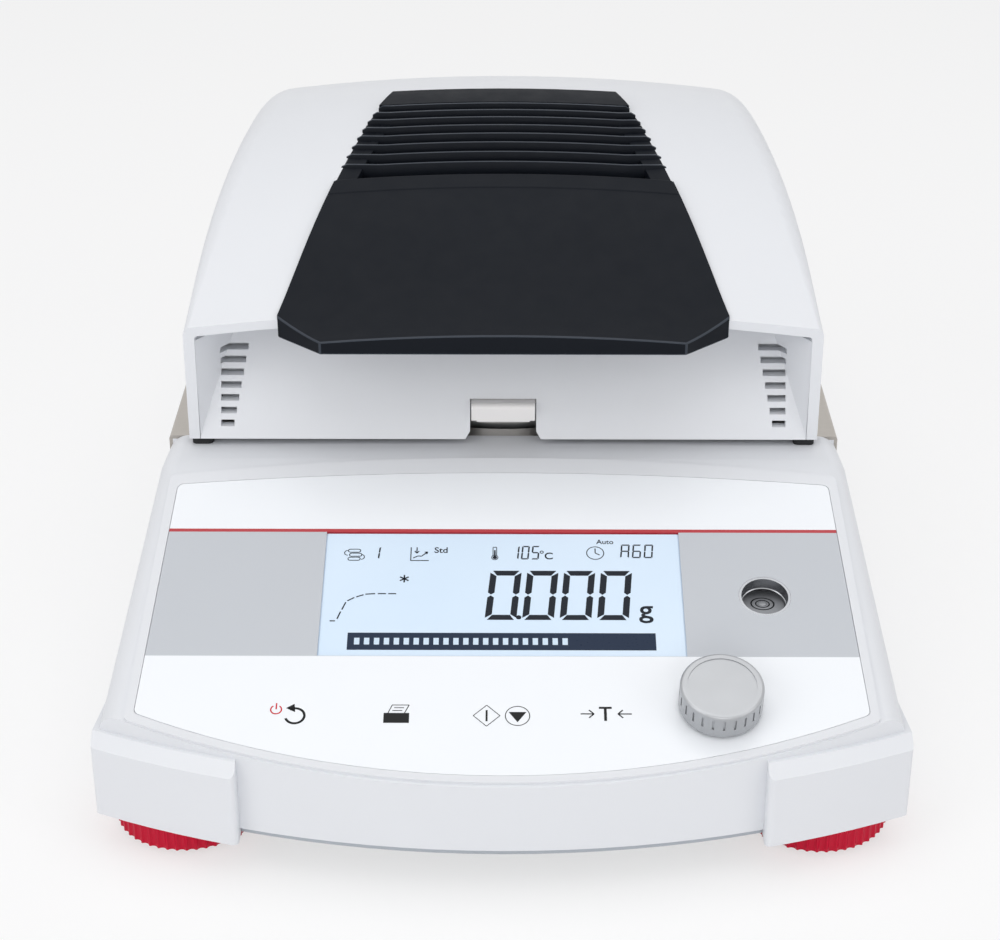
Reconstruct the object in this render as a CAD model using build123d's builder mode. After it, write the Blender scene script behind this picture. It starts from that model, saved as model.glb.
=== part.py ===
from build123d import *
import math
import os

os.makedirs("parts", exist_ok=True)

# Frame: X to the right, Y from the front to the back, Z up, table at Z = 0, in millimetres.

# Base, outside
WIDTH = 210.0
DEPTH = 326.0
FRONT_Y = -DEPTH / 2
REAR_Y = DEPTH / 2
FRONT_RADIUS = 245.0
FRONT_HALF = 103.0
WAIST_HALF = 97.0
CREASE_Y = -52.5
WALL = 3.0
TRAY_BOTTOM_Z = 10.3
TRAY_THICK = 2.5
TRAY_TOP_Z = TRAY_BOTTOM_Z + TRAY_THICK
TRAY_INSET = 1.2
DECK_Z = 67.9
SHOULDER_RADIUS = 6.0

# Sloping control panel
PANEL_TILT = 17.5
PANEL_FRONT_Z = DECK_Z - (CREASE_Y - FRONT_Y) * math.tan(math.radians(PANEL_TILT))
RIM_HEIGHT = 0.9
RIM_HALF_FRONT = 96.0
RIM_HALF_BACK = 93.5
RIM_FRONT_V = 0.6
RIM_CORNER_V = 20.4
RIM_BACK_V = 115.0
RIM_BACK_CORNER_V = 108.0
OVERLAY_THICK = 0.8
OVERLAY_HALF_FRONT = 93.5
OVERLAY_HALF_BACK = 91.0
OVERLAY_FRONT_V = 2.8
OVERLAY_CORNER_V = 22.4
OVERLAY_BACK_V = 109.0
OVERLAY_BACK_CORNER_V = 104.2
OVERLAY_CORNER_RADIUS = 2.0
OVERLAY_GAP = 0.15

# Corner pods that house the front feet
POD_INNER_X = 66.6
POD_PROUD = 4.4
POD_BACK_Y = -104.0
POD_BOTTOM_Z = 10.5
POD_TOP_Z = 34.0
POD_BEVEL = 3.2
POD_EDGE_RADIUS = 1.4

# Display, keys, knob and spirit level, placed on the panel by X and by V, the way up its slope
LCD_WIDTH = 96.4
LCD_HEIGHT = 43.5
LCD_CENTRE_V = 63.25
LCD_FRAME = 3.0
LCD_THICK = 5.6
LCD_GAP = 0.3
KEY_V = 22.6
KEY_XS = [-55.0, -26.9, 0.0, 26.4]
KEY_NAMES = ["key_power", "key_print", "key_start_stop", "key_tare"]
KEY_RADIUS = 5.2
KEY_GAP = 0.3
KEY_TRAVEL = 0.25
SWITCH_SIDE = 6.0
SWITCH_HEIGHT = 3.0
KNOB_X = 55.6
KNOB_V = 25.0
KNOB_RADIUS = 10.7
KNOB_HEIGHT = 7.4
KNOB_LIFT = 0.9
KNOB_GROOVES = 24
SHAFT_RADIUS = 3.0
SHAFT_FIT = 0.05
LEVEL_X = 70.0
LEVEL_V = 62.6
LEVEL_RADIUS = 6.95
LEVEL_WALL = 0.7
LEVEL_SLEEVE_DEPTH = 3.4
VIAL_RADIUS = 8.0
VIAL_HEIGHT = 6.0
VIAL_DROP = 5.0
VIAL_SET_BACK = 3.8
BOARD_THICK = 1.6
BOARD_DEPTH = 9.4
BOARD_HALF = 78.0
BOARD_FRONT_V = 16.0
BOARD_BACK_V = 88.0
PANEL_POST_X = 73.0
PANEL_POST_VS = (34.0, 83.0)
ENCODER_HEIGHT = 5.2
CARRIER_RADIUS = 4.2
KNOB_TRAVEL = 0.6

# Steel deck and heating chamber
STEEL = 1.0
STEEL_TOP_Z = DECK_Z - RIM_HEIGHT - 0.2
STEEL_FRONT_Y = -37.8
STEEL_REAR_Y = 112.0
STEEL_FLANGE = 7.0
STEP_Y = 114.0
STEP_Z = 60.5
REAR_TOP_Z = 57.0
CHAMBER_Y = 24.0
DISH_RADIUS = 57.0
DISH_DEPTH = 6.4
DISH_HOLE_RADIUS = 12.0
SHIELD_RADIUS = 55.0
SHIELD_WALL = 1.5
SHIELD_TOP_Z = 73.8
HANDLER_THICK = 1.8
HANDLER_INNER_RADIUS = 44.4
GRIP_WIDTH = 18.2
GRIP_BOTTOM_Z = 74.2
GRIP_HEIGHT = 5.0
GRIP_DEPTH = 7.0
PAN_RADIUS = 45.0
PAN_FLANGE = 1.5
PAN_WALL = 0.6
PAN_BOTTOM_Z = 71.5
PAN_TOP_Z = 77.4
SUPPORT_ARM = 34.0
STEM_RADIUS = 4.0
CONE_TOP_Z = 47.0
CELL_TOP_Z = 38.0
CELL_HEIGHT = 16.0
CELL_GAP = 0.35
CELL_LENGTH = 84.0
CELL_WIDTH = 24.0
CELL_FOOT = 22.0
DISH_FLOOR_Z = STEEL_TOP_Z - DISH_DEPTH
GRIP_FRONT_Y = -42.6

# Feet
FOOT_X = 82.9
FOOT_Y = -128.8
WHEEL_RADIUS = 19.5
WHEEL_BOTTOM_Z = 1.5
WHEEL_TOP_Z = 9.9
SCALLOPS = 48
SCALLOP_RADIUS = 1.3
STUD_RADIUS = 4.0
STUD_TOP_Z = 24.0
SOLE_RADIUS = 12.0
SOLE_THICK = 1.3
PIVOT_RADIUS = 3.0
RUNNING_FIT = 0.05
BUSH_RADIUS = 7.0
BUSH_BOTTOM_Z = 13.0
REAR_FOOT_X = 80.0
REAR_FOOT_Y = 140.0
REAR_FOOT_RADIUS = 9.5
PIVOT_LENGTH = 4.0

# Lid
LID_FRONT_Y = -44.5
LID_REAR_Y = 130.0
LID_BOTTOM_Z = 69.2
LID_HALF = 90.0
LID_REAR_HALF = 88.0
LID_WALL = 3.0
CROWN_FRONT_Z = 109.0
CROWN_TOP_Z = 143.2
CROWN_DROP = 5.5
CROWN_RADIUS = 600.0
LEAN = 12.5
# Each hood station: share of the lid's length, share of the crown's rise, share of the lean, shoulder radius
HOOD_STATIONS = [
    (0.00, 0.00, 0.01, 2.5),
    (0.11, 0.32, 0.16, 5.0),
    (0.235, 0.64, 0.36, 8.0),
    (0.42, 0.945, 0.74, 11.0),
    (0.55, 1.00, 0.93, 13.0),
    (0.70, 0.875, 1.00, 13.0),
    (0.85, 0.50, 0.93, 12.0),
    (1.00, -0.25, 0.75, 9.0),
]

# Lid front panel
FACE_LEAN = 27.0
FACE_THICK = 2.5
FACE_GAP = 0.2
FACE_TOP_Z = 99.6
RETURN_WIDTH = 11.0
VENT_COUNT = 7
VENT_TOP_Z = 93.7
VENT_PITCH = 3.27
VENT_HEIGHT = 1.7
VENT_OUTER_X = 81.0
VENT_TOP_WIDTH = 7.9
VENT_BOTTOM_WIDTH = 3.9
NOTCH_WIDTH = 19.0
NOTCH_TOP_Z = 79.5
NOTCH_FLARE = 2.0

# Black top cover with its handle lip and louvre
COVER_PROUD = 1.7
COVER_BLANK = 36.0
LIP_FRONT_Y = -56.5
LIP_FRONT_HALF = 50.5
LIP_BOTTOM_Z = 101.0
LIP_TOP_Z = 106.8
COVER_FRONT_HALF = 63.3
COVER_NECK_Y = 31.0
COVER_NECK_HALF = 39.3
COVER_BACK_Y = 44.5
COVER_BACK_HALF = 34.2
BLADES = 8
BLADE_FIRST_Y = -4.0
BLADE_LAST_Y = 25.0
BLADE_THICK = 1.1
BLADE_DEPTH = 7.0
BLADE_BREAK_X = 36.5
WINDOW_RAIL = 5.0

# Heater, all on the chamber's axis
FRAME_Z = 86.0
FRAME_THICK = 1.2
FRAME_HOLE_RADIUS = 47.0
GLASS_RADIUS = 49.5
GLASS_THICK = 3.3
RETAINER_THICK = 1.2
RETAINER_EDGE = 2.5
REFLECTOR_RADIUS = 46.0
REFLECTOR_HEIGHT = 20.0
REFLECTOR_WALL = 0.8
REFLECTOR_BEND = 7.5
LAMP_RING_RADIUS = 34.0
LAMP_TUBE_RADIUS = 4.0
LAMP_Z = 101.0
LAMP_LEG_X = 10.0
LAMP_HOLDER_DEPTH = 9.0
SENSOR_X = 57.5
FRAME_HALF = 81.0
FRAME_FRONT_Y = -26.0
FRAME_REAR_Y = 96.0
FRAME_POST_X = 66.0
FRAME_POST_YS = (-16.0, 84.0)
BUMPER_X = 86.5
BUMPER_Y = -40.0
WINDOW_FRONT_Y = -18.0

# Hinge
HINGE_Y = 118.0
HINGE_Z = 76.0
HINGE_X = 60.0
EAR_THICK = 3.0
EAR_RADIUS = 7.5
BRACKET_BASE = 10.0
ARM_RADIUS = 6.5
ARM_RISE = 12.0
ARM_SEAT = 26.0
PIN_PROUD = 1.5
ARM_THICK = 4.0
WASHER_THICK = 1.8
EAR_FRONT_Y = 97.0
EAR_BACK_Y = 111.0
PIN_RADIUS = 2.5

# Back panel and sockets
BACK_PANEL_HALF = 72.0
BACK_PANEL_BOTTOM_Z = 16.0
BACK_PANEL_TOP_Z = 50.0
BACK_PANEL_THICK = 2.0
INLET_X = -48.0
INLET_Z = 32.0
INLET_WIDTH = 27.0
INLET_HEIGHT = 20.0
INLET_DEPTH = 18.0
USB_X = 10.0
SERIAL_X = 42.0
FUSE_HEIGHT = 7.0
INLET_PINS = [(-6.5, -1.5), (0.0, 2.5), (6.5, -1.5)]
INLET_PIN_LENGTH = 11.0
USB_SIDE = 12.0
SERIAL_WIDTH = 31.0
SERIAL_HEIGHT = 12.5

# Boards on the tray
BOARD_Z = 17.0
MAIN_BOARD_X = 55.0
MAIN_BOARD_Y = 96.0
MAIN_BOARD_WIDTH = 64.0
MAIN_BOARD_DEPTH = 82.0
BOARD_POST_EDGE = 5.0

TILT = math.radians(PANEL_TILT)
PANEL = Plane(origin=(0, FRONT_Y, PANEL_FRONT_Z), x_dir=(1, 0, 0), z_dir=(0, -math.sin(TILT), math.cos(TILT)))
SIDES = {"left": -1, "right": 1}


def save(piece, name):
    """Labels a finished piece and writes it."""
    piece.label = name
    export_step(piece, f"parts/{name}.step")


def on_panel(x, v, height=0.0):
    """The panel's plane moved to a point on it, and lifted along its normal."""
    origin = PANEL.from_local_coords((x, v, height))
    return Plane(origin=origin, x_dir=PANEL.x_dir, z_dir=PANEL.z_dir)


def front_arc_y(x, proud=0.0):
    """Y of the curved front wall at a place across the base."""
    radius = FRONT_RADIUS + proud
    return FRONT_Y + FRONT_RADIUS - math.sqrt(radius**2 - x**2)


def base_plan(inset):
    """Plan of the base, set in from its outer walls."""
    half = FRONT_HALF - inset
    waist = WAIST_HALF - inset
    corner_y = front_arc_y(half, -inset)
    with BuildSketch(mode=Mode.PRIVATE) as plan:
        with BuildLine():
            ThreePointArc((-half, corner_y), (0, front_arc_y(0, -inset)), (half, corner_y))
            Polyline(
                (half, corner_y),
                (waist, STEEL_FRONT_Y),
                (waist, REAR_Y - inset),
                (-waist, REAR_Y - inset),
                (-waist, STEEL_FRONT_Y),
                (-half, corner_y),
            )
        make_face()
    return plan.sketch


def base_profile(drop, bottom):
    """Side profile of the base, with its top surfaces lowered by a drop."""
    shift = drop / math.cos(TILT)
    top = DECK_Z - RIM_HEIGHT - drop
    front_z = PANEL_FRONT_Z - RIM_HEIGHT / math.cos(TILT) - shift
    crease_y = FRONT_Y + (top - front_z) / math.tan(TILT)
    with BuildSketch(mode=Mode.PRIVATE) as profile:
        with BuildLine():
            Polyline(
                (FRONT_Y - WALL, bottom),
                (FRONT_Y - WALL, front_z - WALL * math.tan(TILT)),
                (crease_y, top),
                (STEEL_FRONT_Y - max(drop - 1, 0), top),
                (STEEL_FRONT_Y - max(drop - 1, 0), STEEL_TOP_Z - STEEL - drop),
                (STEP_Y - drop, STEEL_TOP_Z - STEEL - drop),
                (STEP_Y - drop, STEP_Z - drop),
                (REAR_Y + WALL, REAR_TOP_Z - drop),
                (REAR_Y + WALL, bottom),
                close=True,
            )
        make_face()
    return profile.sketch


def panel_shape(half_front, half_back, front_v, corner_v, back_v, back_corner_v, radius):
    """Outline on the panel with bowed front and back edges."""
    with BuildSketch(mode=Mode.PRIVATE) as shape:
        with BuildLine():
            ThreePointArc((-half_front, corner_v), (0, front_v), (half_front, corner_v))
            Line((half_front, corner_v), (half_back, back_corner_v))
            ThreePointArc((half_back, back_corner_v), (0, back_v), (-half_back, back_corner_v))
            Line((-half_back, back_corner_v), (-half_front, corner_v))
        make_face()
        fillet(shape.vertices(), radius)
    return shape.sketch


def overlay_shape(grow):
    """Outline of the printed overlay, or of the recess it lies in."""
    return panel_shape(
        OVERLAY_HALF_FRONT + grow,
        OVERLAY_HALF_BACK + grow,
        OVERLAY_FRONT_V - grow,
        OVERLAY_CORNER_V - grow,
        OVERLAY_BACK_V + grow,
        OVERLAY_BACK_CORNER_V + grow,
        OVERLAY_CORNER_RADIUS,
    )


def pod_plan(side, grow):
    """Plan of a corner pod, which stands proud of the curved front."""
    inner = side * (POD_INNER_X - grow)
    middle = side * (POD_INNER_X + WIDTH / 2) / 2
    outer = side * (WIDTH / 2 + grow)
    with BuildSketch(mode=Mode.PRIVATE) as plan:
        with BuildLine():
            ThreePointArc(
                (inner, front_arc_y(inner, POD_PROUD + grow)),
                (middle, front_arc_y(middle, POD_PROUD + grow)),
                (outer, front_arc_y(outer, POD_PROUD + grow)),
            )
            Polyline(
                (outer, front_arc_y(outer, POD_PROUD + grow)),
                (side * (FRONT_HALF - 2 + grow), POD_BACK_Y + grow),
                (inner, POD_BACK_Y + grow),
                (inner, front_arc_y(inner, POD_PROUD + grow)),
            )
        make_face()
    return plan.sketch


# Upper housing of the base: one white moulding with the panel, the front deck and the corner pods

with BuildPart() as housing_cavity:
    with BuildSketch(Plane.XY.offset(TRAY_TOP_Z - WALL)):
        add(base_plan(WALL))
    extrude(amount=DECK_Z)
    with BuildSketch(Plane.YZ.offset(-WIDTH)):
        add(base_profile(WALL, TRAY_TOP_Z - WALL))
    extrude(amount=2 * WIDTH, mode=Mode.INTERSECT)

with BuildPart() as pod_relief:
    add(housing_cavity.part)
    split(bisect_by=Plane.XY.offset(STUD_TOP_Z + FACE_GAP), keep=Keep.TOP)

with BuildPart() as pods:
    with BuildSketch(Plane.XY.offset(POD_BOTTOM_Z)):
        for side in SIDES.values():
            add(pod_plan(side, 0.0))
    extrude(amount=POD_TOP_Z - POD_BOTTOM_Z)
    pod_tops = pods.faces().filter_by(Plane.XY).group_by(Axis.Z)[-1].edges()
    chamfer([edge for edge in pod_tops.filter_by(GeomType.CIRCLE) if edge.radius > FRONT_RADIUS], POD_BEVEL)
    pod_uprights = pods.edges().filter_by(Axis.Z)
    fillet([edge for edge in pod_uprights if edge.center().Y < POD_BACK_Y - POD_BEVEL], POD_EDGE_RADIUS)

with BuildPart() as console:
    with BuildSketch(Plane.XY.offset(TRAY_TOP_Z)):
        add(base_plan(0.0))
    extrude(amount=DECK_Z)
    with BuildSketch(Plane.YZ.offset(-WIDTH)):
        add(base_profile(0.0, TRAY_TOP_Z - WALL))
    extrude(amount=2 * WIDTH, mode=Mode.INTERSECT)
    split(bisect_by=Plane.XZ.offset(-STEEL_FRONT_Y), keep=Keep.TOP)
    shoulders = [
        edge
        for edge in console.edges()
        if abs(edge.center().X) > WAIST_HALF - 2
        and edge.center().Z > PANEL_FRONT_Z
        and edge.bounding_box().size.Y > 1
    ]
    fillet(shoulders, SHOULDER_RADIUS)

with BuildPart() as rear_body:
    with BuildSketch(Plane.XY.offset(TRAY_TOP_Z)):
        add(base_plan(0.0))
    extrude(amount=DECK_Z)
    with BuildSketch(Plane.YZ.offset(-WIDTH)):
        add(base_profile(0.0, TRAY_TOP_Z - WALL))
    extrude(amount=2 * WIDTH, mode=Mode.INTERSECT)
    split(bisect_by=Plane.XZ.offset(-STEEL_FRONT_Y), keep=Keep.BOTTOM)
    with BuildSketch(Plane.XY.offset(STEEL_TOP_Z - STEEL_FLANGE)):
        for side in SIDES.values():
            with Locations((side * WAIST_HALF, (STEEL_FRONT_Y + STEEL_REAR_Y) / 2)):
                Rectangle(2 * STEEL, STEEL_REAR_Y - STEEL_FRONT_Y)
    extrude(amount=STEEL_FLANGE, mode=Mode.SUBTRACT)

with BuildPart() as upper_housing:
    add(console.part)
    add(rear_body.part)
    add(housing_cavity.part, mode=Mode.SUBTRACT)
    add(pods.part)
    add(pod_relief.part, mode=Mode.SUBTRACT)
    with BuildSketch(PANEL.offset(-RIM_HEIGHT - 1.0)):
        add(
            panel_shape(
                RIM_HALF_FRONT,
                RIM_HALF_BACK,
                RIM_FRONT_V,
                RIM_CORNER_V,
                RIM_BACK_V,
                RIM_BACK_CORNER_V,
                OVERLAY_CORNER_RADIUS,
            )
        )
    extrude(amount=RIM_HEIGHT + 1.0)
    with BuildSketch(PANEL):
        add(overlay_shape(OVERLAY_GAP))
    extrude(amount=-OVERLAY_THICK, mode=Mode.SUBTRACT)
    with BuildSketch(PANEL):
        with Locations((0, LCD_CENTRE_V)):
            Rectangle(LCD_WIDTH + 2 * (LCD_FRAME + LCD_GAP), LCD_HEIGHT + 2 * (LCD_FRAME + LCD_GAP))
        with Locations([(x, KEY_V) for x in KEY_XS]):
            Circle(KEY_RADIUS + KEY_GAP)
        with Locations((KNOB_X, KNOB_V)):
            Circle(SHAFT_RADIUS + 1.5)
        with Locations((LEVEL_X, LEVEL_V)):
            Circle(LEVEL_RADIUS)
    extrude(amount=-WALL - 2.0, mode=Mode.SUBTRACT)
    with BuildSketch(Plane.XY.offset(STEP_Z)):
        with Locations((0, CHAMBER_Y)):
            Circle(DISH_RADIUS + 2.0)
    extrude(amount=DECK_Z - STEP_Z, mode=Mode.SUBTRACT)
    with BuildSketch(Plane.XY.offset(POD_BOTTOM_Z)):
        with Locations([(side * FOOT_X, FOOT_Y) for side in SIDES.values()]):
            Circle(STUD_RADIUS + 0.4)
    extrude(amount=BUSH_BOTTOM_Z - POD_BOTTOM_Z, mode=Mode.SUBTRACT)
    with BuildSketch(Plane.XY.offset(BUSH_BOTTOM_Z)):
        with Locations([(side * FOOT_X, FOOT_Y) for side in SIDES.values()]):
            Circle(BUSH_RADIUS)
    extrude(amount=STUD_TOP_Z, mode=Mode.SUBTRACT)
    with BuildSketch(Plane.XZ.offset(-REAR_Y)):
        with Locations((0, (BACK_PANEL_BOTTOM_Z + BACK_PANEL_TOP_Z) / 2)):
            Rectangle(2 * BACK_PANEL_HALF + 0.4, BACK_PANEL_TOP_Z - BACK_PANEL_BOTTOM_Z + 0.4)
    extrude(amount=WALL + 1, mode=Mode.SUBTRACT)
save(upper_housing.part, "upper_housing")


# Bottom tray, between and behind the pods, with ribs that carry the load cell

POST_SPAN_X = MAIN_BOARD_WIDTH - 2 * BOARD_POST_EDGE
POST_SPAN_Y = MAIN_BOARD_DEPTH - 2 * BOARD_POST_EDGE
POST_RADIUS = 3.0
with BuildPart() as base_tray:
    with BuildSketch(Plane.XY.offset(TRAY_BOTTOM_Z)):
        add(base_plan(TRAY_INSET))
        for side in SIDES.values():
            add(pod_plan(side, FACE_GAP), mode=Mode.SUBTRACT)
    extrude(amount=TRAY_THICK)
    with BuildSketch(Plane.XY.offset(TRAY_TOP_Z)):
        with Locations((0, CHAMBER_Y + CELL_LENGTH - CELL_WIDTH / 2 - CELL_FOOT / 2)):
            Rectangle(CELL_WIDTH, CELL_FOOT)
    extrude(amount=CELL_TOP_Z - CELL_HEIGHT - TRAY_TOP_Z)
    with BuildSketch(Plane.XY.offset(TRAY_TOP_Z)):
        with Locations(*[(side * MAIN_BOARD_X, MAIN_BOARD_Y) for side in SIDES.values()]):
            with GridLocations(POST_SPAN_X, POST_SPAN_Y, 2, 2):
                Circle(POST_RADIUS)
    extrude(amount=BOARD_Z - TRAY_TOP_Z)
    bottom_edges = base_tray.faces().sort_by(Axis.Z)[0].edges().group_by(Axis.Y)[0]
    chamfer(bottom_edges, 0.8)
save(base_tray.part, "base_tray")


# Panel: printed overlay, display, boards, keys and their switches

with BuildPart() as panel_overlay:
    with BuildSketch(PANEL.offset(-OVERLAY_THICK)):
        add(overlay_shape(0.0))
        with Locations((0, LCD_CENTRE_V)):
            Rectangle(LCD_WIDTH, LCD_HEIGHT, mode=Mode.SUBTRACT)
        with Locations((KNOB_X, KNOB_V)):
            Circle(SHAFT_RADIUS + 1.0, mode=Mode.SUBTRACT)
        with Locations((LEVEL_X, LEVEL_V)):
            Circle(LEVEL_RADIUS, mode=Mode.SUBTRACT)
    extrude(amount=OVERLAY_THICK - 0.05)
save(panel_overlay.part, "panel_overlay")

with BuildPart() as lcd_module:
    with BuildSketch(PANEL.offset(-OVERLAY_THICK)):
        with Locations((0, LCD_CENTRE_V)):
            RectangleRounded(LCD_WIDTH + 2 * LCD_FRAME, LCD_HEIGHT + 2 * LCD_FRAME, 1.0)
    extrude(amount=-LCD_THICK)
    with BuildSketch(PANEL.offset(-OVERLAY_THICK)):
        with Locations((0, LCD_CENTRE_V)):
            Rectangle(LCD_WIDTH - 0.6, LCD_HEIGHT - 0.6)
    extrude(amount=0.3)
save(lcd_module.part, "lcd_module")

with BuildPart() as display_board:
    with BuildSketch(PANEL.offset(-BOARD_DEPTH)):
        with Locations((0, (BOARD_FRONT_V + BOARD_BACK_V) / 2)):
            Rectangle(2 * BOARD_HALF, BOARD_BACK_V - BOARD_FRONT_V)
        with Locations((LEVEL_X, LEVEL_V)):
            Circle(VIAL_RADIUS + 3.5, mode=Mode.SUBTRACT)
    extrude(amount=-BOARD_THICK)
save(display_board.part, "display_board")

with BuildPart() as lcd_spacer:
    with BuildSketch(PANEL.offset(-OVERLAY_THICK - LCD_THICK)):
        with Locations((0, LCD_CENTRE_V)):
            Rectangle(LCD_WIDTH - 4, LCD_HEIGHT - 4)
            Rectangle(LCD_WIDTH - 12, LCD_HEIGHT - 12, mode=Mode.SUBTRACT)
    extrude(amount=OVERLAY_THICK + LCD_THICK - BOARD_DEPTH)
save(lcd_spacer.part, "lcd_spacer")

with BuildPart() as board_posts:
    with BuildSketch(PANEL.offset(-WALL - RIM_HEIGHT)):
        with Locations(*[(side * PANEL_POST_X, v) for side in SIDES.values() for v in PANEL_POST_VS]):
            Circle(3.0)
    extrude(amount=WALL + RIM_HEIGHT - BOARD_DEPTH)
save(board_posts.part, "board_posts")

key_depth = BOARD_DEPTH - SWITCH_HEIGHT - KEY_TRAVEL - 0.05
for name, x in zip(KEY_NAMES, KEY_XS):
    with BuildPart() as key:
        with BuildSketch(PANEL.offset(-OVERLAY_THICK - 0.05)):
            with Locations((x, KEY_V)):
                Circle(KEY_RADIUS)
        extrude(amount=-WALL)
        with BuildSketch(PANEL.offset(-key_depth)):
            with Locations((x, KEY_V)):
                Circle(KEY_RADIUS / 2)
        extrude(amount=key_depth - OVERLAY_THICK - 0.05)
    save(key.part, name)

with BuildPart() as key_switches:
    with BuildSketch(PANEL.offset(-BOARD_DEPTH)):
        with Locations([(x, KEY_V) for x in KEY_XS]):
            RectangleRounded(SWITCH_SIDE, SWITCH_SIDE, 0.6)
    extrude(amount=SWITCH_HEIGHT - 0.8)
    with BuildSketch(PANEL.offset(-BOARD_DEPTH + SWITCH_HEIGHT - 0.8)):
        with Locations([(x, KEY_V) for x in KEY_XS]):
            Circle(1.7)
    extrude(amount=0.8)
save(key_switches.part, "key_switches")


# Rotary control: encoder on the board, sliding carrier, shaft and knob

encoder_bottom = BOARD_DEPTH
with BuildPart() as encoder_body:
    with BuildSketch(PANEL.offset(-encoder_bottom)):
        with Locations((KNOB_X, KNOB_V)):
            Rectangle(12.0, 12.0)
    extrude(amount=ENCODER_HEIGHT)
    with BuildSketch(PANEL.offset(-encoder_bottom + 0.8)):
        with Locations((KNOB_X, KNOB_V)):
            Circle(CARRIER_RADIUS + 0.3)
    extrude(amount=ENCODER_HEIGHT - 1.6, mode=Mode.SUBTRACT)
    with BuildSketch(PANEL.offset(-encoder_bottom + ENCODER_HEIGHT - 0.8)):
        with Locations((KNOB_X, KNOB_V)):
            Circle(SHAFT_RADIUS + SHAFT_FIT)
    extrude(amount=0.8, mode=Mode.SUBTRACT)
save(encoder_body.part, "encoder_body")

carrier_depth = encoder_bottom - 0.8 - KNOB_TRAVEL - 0.05
with BuildPart() as encoder_carrier:
    with BuildSketch(PANEL.offset(-carrier_depth)):
        with Locations((KNOB_X, KNOB_V)):
            Circle(CARRIER_RADIUS)
    extrude(amount=1.2)
save(encoder_carrier.part, "encoder_carrier")

shaft_depth = carrier_depth - 1.2 - 0.1
with BuildPart() as encoder_shaft:
    with BuildSketch(PANEL.offset(-shaft_depth)):
        with Locations((KNOB_X, KNOB_V)):
            Circle(SHAFT_RADIUS)
    extrude(amount=shaft_depth + KNOB_LIFT + KNOB_HEIGHT - 2.0)
save(encoder_shaft.part, "encoder_shaft")

with BuildPart() as control_knob:
    with BuildSketch(on_panel(KNOB_X, KNOB_V, KNOB_LIFT)):
        Circle(KNOB_RADIUS)
    extrude(amount=KNOB_HEIGHT)
    fillet(control_knob.faces().sort_by(Axis(PANEL.origin, PANEL.z_dir))[-1].edges(), 0.9)
    with BuildSketch(on_panel(KNOB_X, KNOB_V, KNOB_LIFT + KNOB_HEIGHT)):
        Circle(KNOB_RADIUS - 1.9)
    extrude(amount=-0.25, mode=Mode.SUBTRACT)
    with BuildSketch(on_panel(KNOB_X, KNOB_V, KNOB_LIFT)):
        Circle(SHAFT_RADIUS)
    extrude(amount=KNOB_HEIGHT - 2.0, mode=Mode.SUBTRACT)
    with BuildSketch(on_panel(KNOB_X, KNOB_V, KNOB_LIFT + 2.4)):
        with PolarLocations(KNOB_RADIUS, KNOB_GROOVES):
            Rectangle(0.9, 0.6)
    extrude(amount=3.4, mode=Mode.SUBTRACT)
save(control_knob.part, "control_knob")


# Spirit level: polished sleeve square to the panel, and a vial that stands upright below it

with BuildPart() as level_sleeve:
    with BuildSketch(on_panel(LEVEL_X, LEVEL_V, -LEVEL_SLEEVE_DEPTH)):
        Circle(LEVEL_RADIUS - 0.05)
        Circle(LEVEL_RADIUS - LEVEL_WALL, mode=Mode.SUBTRACT)
    extrude(amount=LEVEL_SLEEVE_DEPTH - 0.1)
save(level_sleeve.part, "level_sleeve")

level_floor = on_panel(LEVEL_X, LEVEL_V).origin
vial_top_z = level_floor.Z - VIAL_DROP
vial_centre_y = level_floor.Y + VIAL_SET_BACK
with BuildPart() as level_vial:
    with BuildSketch(Plane((LEVEL_X, vial_centre_y, vial_top_z - VIAL_HEIGHT))):
        Circle(VIAL_RADIUS)
    extrude(amount=VIAL_HEIGHT)
    with BuildSketch(Plane((LEVEL_X, vial_centre_y, vial_top_z))):
        Circle(VIAL_RADIUS - 2.2)
    extrude(amount=0.3)
save(level_vial.part, "level_vial")

with BuildPart() as level_holder:
    with BuildSketch(Plane((LEVEL_X, vial_centre_y, vial_top_z - VIAL_HEIGHT - 1.2))):
        Circle(VIAL_RADIUS + 1.5)
    extrude(amount=VIAL_HEIGHT)
    with BuildSketch(Plane((LEVEL_X, vial_centre_y, vial_top_z - VIAL_HEIGHT))):
        Circle(VIAL_RADIUS)
    extrude(amount=VIAL_HEIGHT, mode=Mode.SUBTRACT)
    with BuildSketch(Plane((LEVEL_X, vial_centre_y, TRAY_TOP_Z))):
        Circle(VIAL_RADIUS / 2)
    extrude(amount=vial_top_z - VIAL_HEIGHT - 1.2 - TRAY_TOP_Z)
save(level_holder.part, "level_holder")


# Feet: knurled levelling wheels in front, fixed rubber feet at the back

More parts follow.
